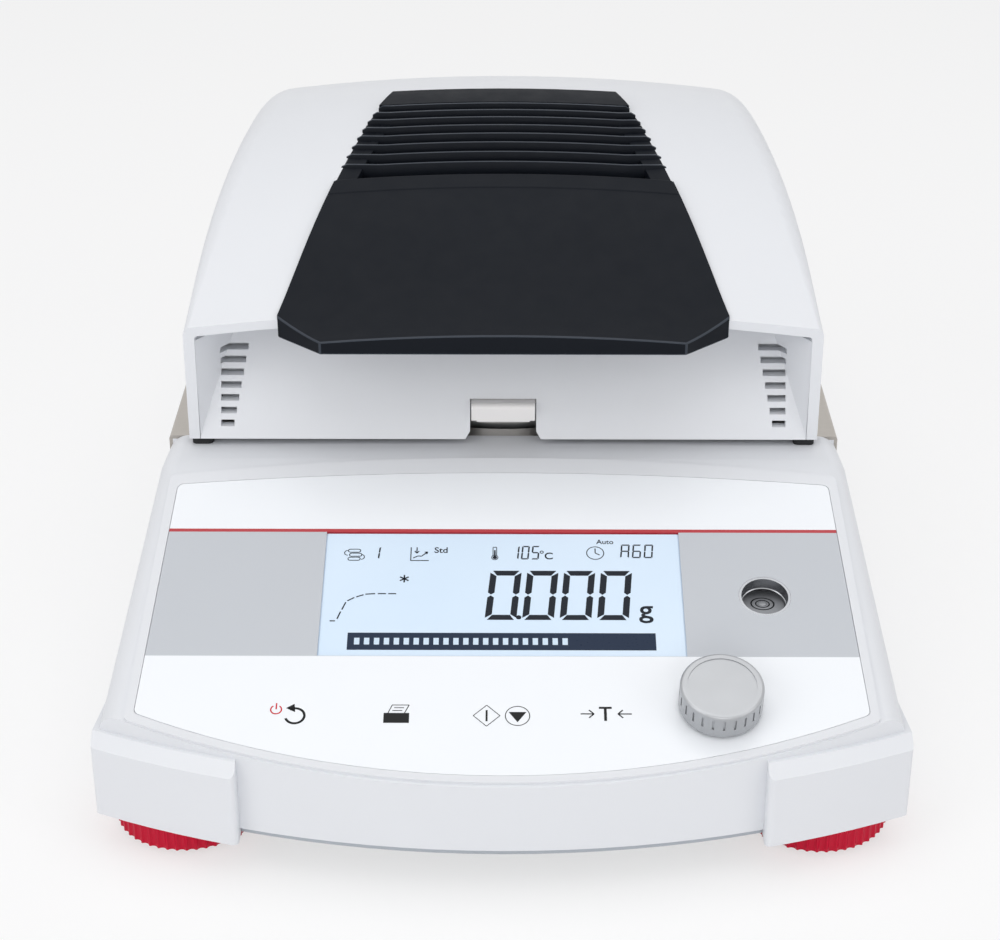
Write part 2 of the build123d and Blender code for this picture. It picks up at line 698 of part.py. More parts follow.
for name, side in SIDES.items():
    with BuildPart() as foot_wheel:
        with BuildSketch(Plane((side * FOOT_X, FOOT_Y, WHEEL_BOTTOM_Z))):
            Circle(WHEEL_RADIUS)
            with PolarLocations(WHEEL_RADIUS + SCALLOP_RADIUS * 0.55, SCALLOPS):
                Circle(SCALLOP_RADIUS, mode=Mode.SUBTRACT)
        extrude(amount=WHEEL_TOP_Z - WHEEL_BOTTOM_Z)
        with BuildSketch(Plane((side * FOOT_X, FOOT_Y, WHEEL_TOP_Z))):
            Circle(STUD_RADIUS)
        extrude(amount=STUD_TOP_Z - WHEEL_TOP_Z)
        with BuildSketch(Plane((side * FOOT_X, FOOT_Y, WHEEL_BOTTOM_Z))):
            Circle(PIVOT_RADIUS + RUNNING_FIT)
        extrude(amount=PIVOT_LENGTH + 0.3, mode=Mode.SUBTRACT)
    save(foot_wheel.part, f"foot_wheel_{name}")

    with BuildPart() as foot_sole:
        with BuildSketch(Plane((side * FOOT_X, FOOT_Y, 0))):
            Circle(SOLE_RADIUS)
        extrude(amount=SOLE_THICK)
        with BuildSketch(Plane((side * FOOT_X, FOOT_Y, SOLE_THICK))):
            Circle(PIVOT_RADIUS)
        extrude(amount=WHEEL_BOTTOM_Z - SOLE_THICK + PIVOT_LENGTH)
    save(foot_sole.part, f"foot_sole_{name}")

    with BuildPart() as rear_foot:
        with BuildSketch(Plane((side * REAR_FOOT_X, REAR_FOOT_Y, 0))):
            Circle(REAR_FOOT_RADIUS)
        extrude(amount=TRAY_BOTTOM_Z)
        fillet(rear_foot.faces().sort_by(Axis.Z)[0].edges(), 1.0)
    save(rear_foot.part, f"rear_foot_{name}")


with BuildPart() as foot_bushes:
    with BuildSketch(Plane.XY.offset(BUSH_BOTTOM_Z)):
        with Locations(*[(side * FOOT_X, FOOT_Y) for side in SIDES.values()]):
            Circle(BUSH_RADIUS)
            Circle(STUD_RADIUS + RUNNING_FIT, mode=Mode.SUBTRACT)
    extrude(amount=STUD_TOP_Z - BUSH_BOTTOM_Z)
save(foot_bushes.part, "foot_bushes")


# Steel deck with folded sides and a pressed round dish

with BuildPart() as steel_deck:
    with BuildSketch(Plane.XY.offset(STEEL_TOP_Z - STEEL)):
        with Locations((0, (STEEL_FRONT_Y + STEEL_REAR_Y) / 2)):
            Rectangle(2 * WAIST_HALF, STEEL_REAR_Y - STEEL_FRONT_Y - 0.2)
    extrude(amount=STEEL)
    with BuildSketch(Plane.XY.offset(STEEL_TOP_Z - STEEL_FLANGE)):
        for side in SIDES.values():
            with Locations((side * (WAIST_HALF - STEEL / 2), (STEEL_FRONT_Y + STEEL_REAR_Y) / 2)):
                Rectangle(STEEL, STEEL_REAR_Y - STEEL_FRONT_Y - 0.2)
    extrude(amount=STEEL_FLANGE - STEEL)
    with BuildSketch(Plane.XY.offset(STEEL_TOP_Z - DISH_DEPTH - STEEL)):
        with Locations((0, CHAMBER_Y)):
            Circle(DISH_RADIUS + STEEL)
    extrude(amount=DISH_DEPTH)
    with BuildSketch(Plane.XY.offset(STEEL_TOP_Z - DISH_DEPTH)):
        with Locations((0, CHAMBER_Y)):
            Circle(DISH_RADIUS)
    extrude(amount=DISH_DEPTH, mode=Mode.SUBTRACT)
    with BuildSketch(Plane.XY.offset(STEEL_TOP_Z - DISH_DEPTH - STEEL)):
        with Locations((0, CHAMBER_Y)):
            Circle(DISH_HOLE_RADIUS)
    extrude(amount=STEEL, mode=Mode.SUBTRACT)
    outer_folds = [
        edge
        for edge in steel_deck.edges().filter_by(Axis.Y)
        if abs(abs(edge.center().X) - WAIST_HALF) < 0.01 and edge.center().Z > STEEL_TOP_Z - 0.01
    ]
    fillet(outer_folds, 1.0)
save(steel_deck.part, "steel_deck")


# Weighing parts: draft shield, pan handler, pan, support, cone and load cell

with BuildPart() as draft_shield:
    with BuildSketch(Plane((0, CHAMBER_Y, DISH_FLOOR_Z))):
        Circle(SHIELD_RADIUS)
        Circle(SHIELD_RADIUS - SHIELD_WALL, mode=Mode.SUBTRACT)
    extrude(amount=SHIELD_TOP_Z - DISH_FLOOR_Z)
    with BuildSketch(Plane((0, CHAMBER_Y, DISH_FLOOR_Z))):
        Circle(SHIELD_RADIUS - SHIELD_WALL)
        Circle(DISH_HOLE_RADIUS, mode=Mode.SUBTRACT)
    extrude(amount=0.8)
save(draft_shield.part, "draft_shield")

with BuildPart() as pan_handler:
    with BuildSketch(Plane((0, CHAMBER_Y, SHIELD_TOP_Z))):
        Circle(SHIELD_RADIUS)
        with Locations((0, (GRIP_FRONT_Y - CHAMBER_Y - SHIELD_RADIUS + 6) / 2 + 0)):
            Rectangle(GRIP_WIDTH - 3, CHAMBER_Y - GRIP_FRONT_Y - SHIELD_RADIUS + 6)
        Circle(HANDLER_INNER_RADIUS, mode=Mode.SUBTRACT)
    extrude(amount=HANDLER_THICK)
    with BuildSketch(Plane((0, GRIP_FRONT_Y + GRIP_DEPTH / 2, GRIP_BOTTOM_Z))):
        Rectangle(GRIP_WIDTH, GRIP_DEPTH)
    extrude(amount=GRIP_HEIGHT)
    grip_edges = [
        edge
        for edge in pan_handler.edges().filter_by(Axis.X)
        if edge.center().Y < GRIP_FRONT_Y + 0.1 and edge.center().Z > GRIP_BOTTOM_Z + 1
    ]
    fillet(grip_edges, 1.5)
save(pan_handler.part, "pan_handler")

with BuildPart() as sample_pan:
    with BuildSketch(Plane.XZ.offset(-CHAMBER_Y)):
        with BuildLine():
            Polyline(
                (0, PAN_BOTTOM_Z),
                (PAN_RADIUS - 4.0, PAN_BOTTOM_Z),
                (PAN_RADIUS - 2.4, PAN_TOP_Z - PAN_WALL),
                (PAN_RADIUS + PAN_FLANGE, PAN_TOP_Z - PAN_WALL),
                (PAN_RADIUS + PAN_FLANGE, PAN_TOP_Z),
                (PAN_RADIUS - 2.4 - PAN_WALL, PAN_TOP_Z),
                (PAN_RADIUS - 4.2 - PAN_WALL, PAN_BOTTOM_Z + PAN_WALL),
                (0, PAN_BOTTOM_Z + PAN_WALL),
                close=True,
            )
        make_face()
    revolve(axis=Axis((0, CHAMBER_Y, 0), (0, 0, 1)))
save(sample_pan.part, "sample_pan")

with BuildPart() as pan_support:
    with BuildSketch(Plane((0, CHAMBER_Y, PAN_BOTTOM_Z - 1.5))):
        with PolarLocations(0, 3, start_angle=90):
            with Locations((SUPPORT_ARM / 2, 0)):
                Rectangle(SUPPORT_ARM, 6.0)
        Circle(9.0)
    extrude(amount=1.5)
    with BuildSketch(Plane((0, CHAMBER_Y, CONE_TOP_Z - 6.0))):
        Circle(STEM_RADIUS)
    extrude(amount=PAN_BOTTOM_Z - 1.5 - CONE_TOP_Z + 6.0)
save(pan_support.part, "pan_support")

with BuildPart() as load_cone:
    with BuildSketch(Plane((0, CHAMBER_Y, CELL_TOP_Z + CELL_GAP))):
        Circle(8.0)
    extrude(amount=CONE_TOP_Z - CELL_TOP_Z - CELL_GAP, taper=8)
    with BuildSketch(Plane((0, CHAMBER_Y, CONE_TOP_Z - 6.0))):
        Circle(STEM_RADIUS)
    extrude(amount=6.0, mode=Mode.SUBTRACT)
save(load_cone.part, "load_cone")

with BuildPart() as load_cell:
    with BuildSketch(Plane((0, CHAMBER_Y + CELL_LENGTH / 2 - CELL_WIDTH / 2, CELL_TOP_Z - CELL_HEIGHT))):
        Rectangle(CELL_WIDTH, CELL_LENGTH)
    extrude(amount=CELL_HEIGHT)
    with BuildSketch(Plane.YZ.offset(-CELL_WIDTH)):
        with Locations((CHAMBER_Y + CELL_LENGTH / 2 - CELL_WIDTH / 2, CELL_TOP_Z - CELL_HEIGHT / 2)):
            SlotOverall(CELL_LENGTH * 0.5, CELL_HEIGHT * 0.55)
    extrude(amount=2 * CELL_WIDTH, mode=Mode.SUBTRACT)
save(load_cell.part, "load_cell")


# Electronics on the tray

with BuildPart() as main_board:
    with BuildSketch(Plane((MAIN_BOARD_X, MAIN_BOARD_Y, BOARD_Z))):
        Rectangle(MAIN_BOARD_WIDTH, MAIN_BOARD_DEPTH)
    extrude(amount=BOARD_THICK)
    with BuildSketch(Plane((MAIN_BOARD_X, MAIN_BOARD_Y, BOARD_Z + BOARD_THICK))):
        with GridLocations(18, 22, 2, 3):
            Rectangle(10, 10)
    extrude(amount=2.0)
save(main_board.part, "main_board")

with BuildPart() as power_board:
    with BuildSketch(Plane((-MAIN_BOARD_X, MAIN_BOARD_Y, BOARD_Z))):
        Rectangle(MAIN_BOARD_WIDTH, MAIN_BOARD_DEPTH)
    extrude(amount=BOARD_THICK)
    with BuildSketch(Plane((-MAIN_BOARD_X, MAIN_BOARD_Y - 14, BOARD_Z + BOARD_THICK))):
        Rectangle(26, 30)
    extrude(amount=20.0)
    with BuildSketch(Plane((-MAIN_BOARD_X, MAIN_BOARD_Y + 22, BOARD_Z + BOARD_THICK))):
        with GridLocations(14, 0, 2, 1):
            Circle(5.5)
    extrude(amount=16.0)
save(power_board.part, "power_board")


# Back panel with the mains inlet, its fuse drawer and the data sockets

with BuildPart() as back_panel:
    with BuildSketch(Plane.XZ.offset(-REAR_Y)):
        with Locations((0, (BACK_PANEL_BOTTOM_Z + BACK_PANEL_TOP_Z) / 2)):
            Rectangle(2 * BACK_PANEL_HALF, BACK_PANEL_TOP_Z - BACK_PANEL_BOTTOM_Z)
        with Locations((INLET_X, INLET_Z)):
            Rectangle(INLET_WIDTH + 0.2, INLET_HEIGHT + FUSE_HEIGHT + 0.2, mode=Mode.SUBTRACT)
        with Locations((USB_X, INLET_Z)):
            Rectangle(USB_SIDE + 0.2, USB_SIDE + 0.2, mode=Mode.SUBTRACT)
        with Locations((SERIAL_X, INLET_Z)):
            Rectangle(SERIAL_WIDTH + 0.2, SERIAL_HEIGHT + 0.2, mode=Mode.SUBTRACT)
    extrude(amount=BACK_PANEL_THICK)
save(back_panel.part, "back_panel")

with BuildPart() as mains_inlet:
    with BuildSketch(Plane.XZ.offset(-REAR_Y)):
        with Locations((INLET_X, INLET_Z + FUSE_HEIGHT / 2)):
            Rectangle(INLET_WIDTH, INLET_HEIGHT)
    extrude(amount=INLET_DEPTH)
    with BuildSketch(Plane.XZ.offset(-REAR_Y)):
        with Locations((INLET_X, INLET_Z + FUSE_HEIGHT / 2)):
            RectangleRounded(INLET_WIDTH - 3.5, INLET_HEIGHT - 4.0, 2.5)
    extrude(amount=INLET_DEPTH - 2.0, mode=Mode.SUBTRACT)
    with BuildSketch(Plane.XZ.offset(-REAR_Y + INLET_DEPTH - 2.0)):
        with Locations(*[(INLET_X + dx, INLET_Z + FUSE_HEIGHT / 2 + dz) for dx, dz in INLET_PINS]):
            Rectangle(2.0, 5.0)
    extrude(amount=-INLET_PIN_LENGTH)
save(mains_inlet.part, "mains_inlet")

with BuildPart() as fuse_drawer:
    with BuildSketch(Plane.XZ.offset(-REAR_Y)):
        with Locations((INLET_X, INLET_Z - INLET_HEIGHT / 2)):
            Rectangle(INLET_WIDTH, FUSE_HEIGHT)
    extrude(amount=INLET_DEPTH)
    with BuildSketch(Plane.XZ.offset(-REAR_Y)):
        with Locations((INLET_X, INLET_Z - INLET_HEIGHT / 2)):
            Rectangle(8.0, 3.0)
    extrude(amount=1.0, mode=Mode.SUBTRACT)
save(fuse_drawer.part, "fuse_drawer")

with BuildPart() as usb_socket:
    with BuildSketch(Plane.XZ.offset(-REAR_Y)):
        with Locations((USB_X, INLET_Z)):
            Rectangle(USB_SIDE, USB_SIDE)
    extrude(amount=16.0)
    with BuildSketch(Plane.XZ.offset(-REAR_Y)):
        with Locations((USB_X, INLET_Z)):
            Rectangle(USB_SIDE - 3.0, USB_SIDE - 3.6)
    extrude(amount=11.0, mode=Mode.SUBTRACT)
    with BuildSketch(Plane.XZ.offset(-REAR_Y + 11.0)):
        with Locations((USB_X, INLET_Z)):
            Rectangle(5.6, 3.2)
    extrude(amount=-6.4)
save(usb_socket.part, "usb_socket")

with BuildPart() as serial_socket:
    with BuildSketch(Plane.XZ.offset(-REAR_Y)):
        with Locations((SERIAL_X, INLET_Z)):
            Rectangle(SERIAL_WIDTH, SERIAL_HEIGHT)
    extrude(amount=10.0)
    with BuildSketch(Plane.XZ.offset(-REAR_Y)):
        with Locations((SERIAL_X, INLET_Z)):
            RectangleRounded(17.0, 8.4, 2.0)
    extrude(amount=6.0, mode=Mode.SUBTRACT)
    with BuildSketch(Plane.XZ.offset(-REAR_Y + 6.0)):
        with Locations((SERIAL_X, INLET_Z + 1.4)):
            with GridLocations(2.77, 0, 5, 1):
                Circle(0.5)
        with Locations((SERIAL_X, INLET_Z - 1.4)):
            with GridLocations(2.77, 0, 4, 1):
                Circle(0.5)
    extrude(amount=-4.5)
save(serial_socket.part, "serial_socket")


# Lid shell: a hood lofted through stations from the visor to the back wall

def hood_station(share, rise, lean, radius, inset, front_y, rear_y):
    """Section of the hood across the lid, set in from its outside."""
    y = front_y + share * (rear_y - front_y)
    crown_z = CROWN_FRONT_Z + rise * (CROWN_TOP_Z - CROWN_FRONT_Z) - inset
    shoulder_z = crown_z - CROWN_DROP
    shoulder_half = LID_HALF - lean * LEAN - inset
    bottom_half = LID_HALF - share * (LID_HALF - LID_REAR_HALF) - inset
    bottom_z = LID_BOTTOM_Z - inset
    side_turn = math.atan2(bottom_half - shoulder_half, shoulder_z - bottom_z)
    crown_turn = 2 * math.atan2(CROWN_DROP, shoulder_half)
    half_turn = (math.pi / 2 - side_turn - crown_turn) / 2
    bend = max(radius - inset / 2, 0.8)
    trim = bend * math.tan(half_turn)
    side_end = (shoulder_half + trim * math.sin(side_turn), shoulder_z - trim * math.cos(side_turn))
    crown_end = (shoulder_half - trim * math.cos(crown_turn), shoulder_z + trim * math.sin(crown_turn))
    chord = ((side_end[0] + crown_end[0]) / 2, (side_end[1] + crown_end[1]) / 2)
    bulge = bend * (1 - math.cos(half_turn))
    reach = math.hypot(shoulder_half - chord[0], shoulder_z - chord[1])
    middle = (
        chord[0] + bulge * (shoulder_half - chord[0]) / reach,
        chord[1] + bulge * (shoulder_z - chord[1]) / reach,
    )
    with BuildSketch(Plane.XZ.offset(-y), mode=Mode.PRIVATE) as station:
        with BuildLine():
            Line((-bottom_half, bottom_z), (-side_end[0], side_end[1]))
            ThreePointArc((-side_end[0], side_end[1]), (-middle[0], middle[1]), (-crown_end[0], crown_end[1]))
            ThreePointArc((-crown_end[0], crown_end[1]), (0, crown_z), crown_end)
            ThreePointArc(crown_end, middle, side_end)
            Line(side_end, (bottom_half, bottom_z))
            Line((bottom_half, bottom_z), (-bottom_half, bottom_z))
        make_face()
    return station.sketch.faces()[0]


def hood_solid(inset):
    """The whole hood as a solid: outside, or the hollow within its walls."""
    front_y = LID_FRONT_Y - (1.0 if inset > 0 else 0.0)
    rear_y = LID_REAR_Y - inset
    with BuildPart() as hood:
        loft(sections=[hood_station(*station, inset, front_y, rear_y) for station in HOOD_STATIONS])
    return hood.part


def cover_half(y):
    """Half width of the cover at a place along it."""
    share = (y - LID_FRONT_Y) / (COVER_NECK_Y - LID_FRONT_Y)
    return COVER_FRONT_HALF + share * (COVER_NECK_HALF - COVER_FRONT_HALF)


def cover_plan(inset, front_y):
    """Plan of the black cover from a given front line, set in from its edge."""
    front_half = cover_half(front_y) - inset
    neck_half = COVER_NECK_HALF - inset
    back_half = COVER_BACK_HALF - inset
    with BuildSketch(mode=Mode.PRIVATE) as plan:
        Polygon(
            (-front_half, front_y),
            (front_half, front_y),
            (neck_half, COVER_NECK_Y - inset),
            (back_half, COVER_BACK_Y - inset),
            (-back_half, COVER_BACK_Y - inset),
            (-neck_half, COVER_NECK_Y - inset),
            align=None,
        )
    return plan.sketch


hood_outside = hood_solid(0.0)
hood_inside = hood_solid(LID_WALL)

with BuildPart() as lid_shell:
    add(hood_outside)
    add(hood_inside, mode=Mode.SUBTRACT)
    with BuildSketch(Plane.XY.offset(CROWN_FRONT_Z)):
        add(cover_plan(WINDOW_RAIL, WINDOW_FRONT_Y))
    extrude(amount=CROWN_TOP_Z, mode=Mode.SUBTRACT)
save(lid_shell.part, "lid_shell")


# Lid front panel: leans back under the visor, with angled returns, vent slots and a notch for the grip

face_back_y = LID_FRONT_Y + (FACE_TOP_Z - LID_BOTTOM_Z) * math.tan(math.radians(FACE_LEAN))
face_half = LID_HALF - LID_WALL - FACE_GAP
thick_y = FACE_THICK / math.cos(math.radians(FACE_LEAN))

with BuildPart() as lid_front_panel:
    with BuildSketch(Plane.YZ.offset(-face_half)):
        with BuildLine():
            Polyline(
                (LID_FRONT_Y, LID_BOTTOM_Z),
                (face_back_y, FACE_TOP_Z),
                (face_back_y, FACE_TOP_Z + 3.0),
                (face_back_y + FACE_THICK, FACE_TOP_Z + 3.0),
                (face_back_y + thick_y, FACE_TOP_Z),
                (LID_FRONT_Y + thick_y, LID_BOTTOM_Z),
                close=True,
            )
        make_face()
    extrude(amount=2 * face_half)
    for side in SIDES.values():
        corner = (side * face_half, LID_FRONT_Y + 0.4)
        with BuildSketch(Plane.XY.offset(FACE_TOP_Z)):
            Polygon(
                corner,
                (side * (face_half - RETURN_WIDTH), face_back_y + 1.0),
                (side * face_half, face_back_y + 1.0),
                align=None,
            )
        with BuildSketch(Plane.XY.offset(LID_BOTTOM_Z + 0.6)):
            Polygon(
                corner,
                (side * (face_half - 0.6), LID_FRONT_Y + 1.4),
                (side * face_half, LID_FRONT_Y + 1.4),
                align=None,
            )
        loft()
    for row in range(VENT_COUNT):
        share = row / (VENT_COUNT - 1)
        width = VENT_TOP_WIDTH + share * (VENT_BOTTOM_WIDTH - VENT_TOP_WIDTH)
        z = VENT_TOP_Z - VENT_HEIGHT / 2 - row * VENT_PITCH
        with BuildSketch(Plane.XZ.offset(-face_back_y - 2 * thick_y)):
            with Locations([(side * (VENT_OUTER_X - width / 2), z) for side in SIDES.values()]):
                Rectangle(width, VENT_HEIGHT)
        extrude(amount=face_back_y + 2 * thick_y - LID_FRONT_Y + 1, mode=Mode.SUBTRACT)
    with BuildSketch(Plane.XZ.offset(-face_back_y - 2 * thick_y)):
        with BuildLine():
            Polyline(
                (-NOTCH_WIDTH / 2 - NOTCH_FLARE, LID_BOTTOM_Z - 1),
                (-NOTCH_WIDTH / 2, LID_BOTTOM_Z + NOTCH_FLARE),
                (-NOTCH_WIDTH / 2, NOTCH_TOP_Z),
                (NOTCH_WIDTH / 2, NOTCH_TOP_Z),
                (NOTCH_WIDTH / 2, LID_BOTTOM_Z + NOTCH_FLARE),
                (NOTCH_WIDTH / 2 + NOTCH_FLARE, LID_BOTTOM_Z - 1),
                close=True,
            )
        make_face()
    extrude(amount=face_back_y + 2 * thick_y - LID_FRONT_Y + 1, mode=Mode.SUBTRACT)
    add(hood_inside, mode=Mode.INTERSECT)
save(lid_front_panel.part, "lid_front_panel")


# Black top cover: crowned plate with a handle lip, and a louvre of crowned blades over a window

def cover_crown_z(y):
    """Height of the cover's crown line at a place along the lid."""
    share = max((y - LID_FRONT_Y) / (LID_REAR_Y - LID_FRONT_Y), 0.0)
    rise = 0.0
    for near, far in zip(HOOD_STATIONS, HOOD_STATIONS[1:]):
        if near[0] <= share <= far[0]:
            rise = near[1] + (far[1] - near[1]) * (share - near[0]) / (far[0] - near[0])
    return CROWN_FRONT_Z + rise * (CROWN_TOP_Z - CROWN_FRONT_Z) + COVER_PROUD


def crown_strip(y, crown_z, thick, half):
    """Crowned strip across the lid, as a sketch at a place along it."""
    edge_z = crown_z - CROWN_RADIUS + math.sqrt(CROWN_RADIUS**2 - half**2)
    with BuildSketch(Plane.XZ.offset(-y), mode=Mode.PRIVATE) as strip:
        with BuildLine():
            ThreePointArc((-half, edge_z), (0, crown_z), (half, edge_z))
            Line((half, edge_z), (half, edge_z - thick))
            ThreePointArc((half, edge_z - thick), (0, crown_z - thick), (-half, edge_z - thick))
            Line((-half, edge_z - thick), (-half, edge_z))
        make_face()
    return strip.sketch


def louvre_blade(y):
    """One louvre blade: a crowned slat with its front corners cut back."""
    top = cover_crown_z(y) + BLADE_THICK * 0.35
    with BuildPart() as blade:
        with BuildSketch(Plane.XZ.offset(-y)):
            add(crown_strip(y, top, BLADE_THICK, COVER_FRONT_HALF))
        extrude(amount=-BLADE_DEPTH)
        with BuildSketch(Plane.XY.offset(top - 20)):
            Polygon(
                (-BLADE_BREAK_X, y),
                (BLADE_BREAK_X, y),
                (cover_half(y + BLADE_DEPTH * 0.6) + 0.4, y + BLADE_DEPTH * 0.6),
                (cover_half(y + BLADE_DEPTH) + 0.4, y + BLADE_DEPTH),
                (-cover_half(y + BLADE_DEPTH) - 0.4, y + BLADE_DEPTH),
                (-cover_half(y + BLADE_DEPTH * 0.6) - 0.4, y + BLADE_DEPTH * 0.6),
                align=None,
            )
        extrude(amount=40, mode=Mode.INTERSECT)
    return blade.part


with BuildPart() as cover_blank:
    stations = [LIP_FRONT_Y, LID_FRONT_Y]
    stations += [LID_FRONT_Y + s[0] * (LID_REAR_Y - LID_FRONT_Y) for s in HOOD_STATIONS[1:5]]
    crowns = [LIP_TOP_Z] + [cover_crown_z(y) for y in stations[1:]]
    strips = [crown_strip(y, z, COVER_BLANK, COVER_FRONT_HALF + 2) for y, z in zip(stations, crowns)]
    loft(sections=[strip.faces()[0] for strip in strips])

with BuildPart() as top_cover:
    with BuildSketch(Plane.XY.offset(LIP_BOTTOM_Z)):
        add(cover_plan(0.0, LID_FRONT_Y))
        Polygon(
            (-COVER_FRONT_HALF, LID_FRONT_Y),
            (-LIP_FRONT_HALF, LIP_FRONT_Y),
            (LIP_FRONT_HALF, LIP_FRONT_Y),
            (COVER_FRONT_HALF, LID_FRONT_Y),
            align=None,
        )
    extrude(amount=CROWN_TOP_Z)
    add(cover_blank.part, mode=Mode.INTERSECT)
    add(hood_outside, mode=Mode.SUBTRACT)
    with BuildSketch(Plane.XY.offset(CROWN_FRONT_Z)):
        Polygon(
            (-cover_half(BLADE_FIRST_Y) + WINDOW_RAIL, BLADE_FIRST_Y),
            (cover_half(BLADE_FIRST_Y) - WINDOW_RAIL, BLADE_FIRST_Y),
            (cover_half(COVER_NECK_Y - 1) - WINDOW_RAIL, COVER_NECK_Y - 1),
            (-cover_half(COVER_NECK_Y - 1) + WINDOW_RAIL, COVER_NECK_Y - 1),
            align=None,
        )
    extrude(amount=CROWN_TOP_Z, mode=Mode.SUBTRACT)
    for index in range(BLADES):
        blade_y = BLADE_FIRST_Y + index * (BLADE_LAST_Y - BLADE_FIRST_Y) / (BLADES - 1)
        add(louvre_blade(blade_y))
    add(lid_shell.part, mode=Mode.SUBTRACT)
save(top_cover.part, "top_cover")


# Heater: inner frame, glass with its retaining ring, lamp in its sockets, reflector and heat shield

with BuildPart() as lid_inner_frame:
    with BuildSketch(Plane.XY.offset(FRAME_Z)):
        with Locations((0, (FRAME_FRONT_Y + FRAME_REAR_Y) / 2)):
            Rectangle(2 * FRAME_HALF, FRAME_REAR_Y - FRAME_FRONT_Y)
        with Locations((0, CHAMBER_Y)):
            Circle(FRAME_HOLE_RADIUS, mode=Mode.SUBTRACT)
        with Locations((SENSOR_X, CHAMBER_Y)):
            Circle(2.0, mode=Mode.SUBTRACT)
    extrude(amount=FRAME_THICK)
save(lid_inner_frame.part, "lid_inner_frame")

glass_z = FRAME_Z + FRAME_THICK
with BuildPart() as protective_glass:
    with BuildSketch(Plane((0, CHAMBER_Y, glass_z))):
        Circle(GLASS_RADIUS)
    extrude(amount=GLASS_THICK)
save(protective_glass.part, "protective_glass")

retainer_z = glass_z + GLASS_THICK
with BuildPart() as glass_retainer:
    with BuildSketch(Plane((0, CHAMBER_Y, retainer_z))):
        Circle(GLASS_RADIUS + RETAINER_EDGE)
        Circle(GLASS_RADIUS - 3.5, mode=Mode.SUBTRACT)
    extrude(amount=RETAINER_THICK)
    with BuildSketch(Plane((0, CHAMBER_Y, glass_z))):
        Circle(GLASS_RADIUS + RETAINER_EDGE)
        Circle(GLASS_RADIUS + 0.5, mode=Mode.SUBTRACT)
    extrude(amount=GLASS_THICK)
save(glass_retainer.part, "glass_retainer")

reflector_z = retainer_z + RETAINER_THICK
reflector_top_z = reflector_z + REFLECTOR_HEIGHT
with BuildPart() as reflector:
    with BuildSketch(Plane.XZ.offset(-CHAMBER_Y)):
        with BuildLine():
            Line((REFLECTOR_RADIUS, reflector_z), (REFLECTOR_RADIUS, reflector_top_z - REFLECTOR_BEND))
            RadiusArc(
                (REFLECTOR_RADIUS, reflector_top_z - REFLECTOR_BEND),
                (REFLECTOR_RADIUS - REFLECTOR_BEND, reflector_top_z),
                -REFLECTOR_BEND,
            )
            Line((REFLECTOR_RADIUS - REFLECTOR_BEND, reflector_top_z), (0, reflector_top_z))
            Line((0, reflector_top_z), (0, reflector_z))
            Line((0, reflector_z), (REFLECTOR_RADIUS, reflector_z))
        make_face()
    revolve(axis=Axis((0, CHAMBER_Y, 0), (0, 0, 1)))
    offset(amount=-REFLECTOR_WALL, openings=reflector.faces().sort_by(Axis.Z)[0])
save(reflector.part, "reflector")

lamp_plane = Plane((0, CHAMBER_Y, LAMP_Z))
lamp_start = math.degrees(math.asin(LAMP_LEG_X / LAMP_RING_RADIUS)) - 90
lamp_reach_y = -math.sqrt(LAMP_RING_RADIUS**2 - LAMP_LEG_X**2)
with BuildPart() as heater_lamp:
    with BuildLine(lamp_plane) as lamp_path:
        CenterArc((0, 0), LAMP_RING_RADIUS, lamp_start, 360 - 2 * (lamp_start + 90))
    with BuildSketch(Plane(origin=lamp_path.line @ 0, z_dir=lamp_path.line % 0)):
        Circle(LAMP_TUBE_RADIUS)
    sweep()
save(heater_lamp.part, "heater_lamp")

with BuildPart() as lamp_holder:
    with BuildSketch(Plane((0, CHAMBER_Y + lamp_reach_y, LAMP_Z - LAMP_TUBE_RADIUS - 1.0))):
        Rectangle(2 * LAMP_LEG_X + 4.0, LAMP_HOLDER_DEPTH)
    extrude(amount=reflector_z + REFLECTOR_HEIGHT - REFLECTOR_WALL - LAMP_Z + LAMP_TUBE_RADIUS + 1.0)
    add(heater_lamp.part, mode=Mode.SUBTRACT)
save(lamp_holder.part, "lamp_holder")

with BuildPart() as heat_shield:
    with BuildSketch(Plane((0, CHAMBER_Y, reflector_z + REFLECTOR_HEIGHT))):
        Circle(REFLECTOR_RADIUS)
        with PolarLocations(REFLECTOR_RADIUS * 0.6, 8):
            Circle(6.0, mode=Mode.SUBTRACT)
    extrude(amount=1.0)
save(heat_shield.part, "heat_shield")

with BuildPart() as temperature_sensor:
    with BuildSketch(Plane((SENSOR_X, CHAMBER_Y, FRAME_Z - 6.0))):
        Circle(2.0)
    extrude(amount=6.0 + FRAME_THICK)
    with BuildSketch(Plane((SENSOR_X, CHAMBER_Y, FRAME_Z + FRAME_THICK))):
        Rectangle(8.0, 12.0)
    extrude(amount=5.0)
save(temperature_sensor.part, "temperature_sensor")

with BuildPart() as frame_posts:
    with BuildSketch(Plane.XY.offset(FRAME_Z + FRAME_THICK)):
        with Locations(*[(side * FRAME_POST_X, y) for side in SIDES.values() for y in FRAME_POST_YS]):
            Circle(3.5)
    extrude(amount=CROWN_TOP_Z)
    add(hood_inside, mode=Mode.INTERSECT)
save(frame_posts.part, "frame_posts")

bumper_z = DECK_Z - RIM_HEIGHT + 0.02
with BuildPart() as lid_bumpers:
    with BuildSketch(Plane.XY.offset(bumper_z)):
        with Locations(*[(side * BUMPER_X, BUMPER_Y) for side in SIDES.values()]):
            RectangleRounded(6.0, 7.0, 1.5)
    extrude(amount=LID_BOTTOM_Z - bumper_z)
save(lid_bumpers.part, "lid_bumpers")


# Hinge: steel brackets on the deck, pins, friction washers and the lid's arms

washer_x = HINGE_X - WASHER_THICK
arm_x = washer_x - 0.1 - ARM_THICK
pin_x = arm_x - PIN_PROUD
pin_length = HINGE_X + EAR_THICK + PIN_PROUD - pin_x


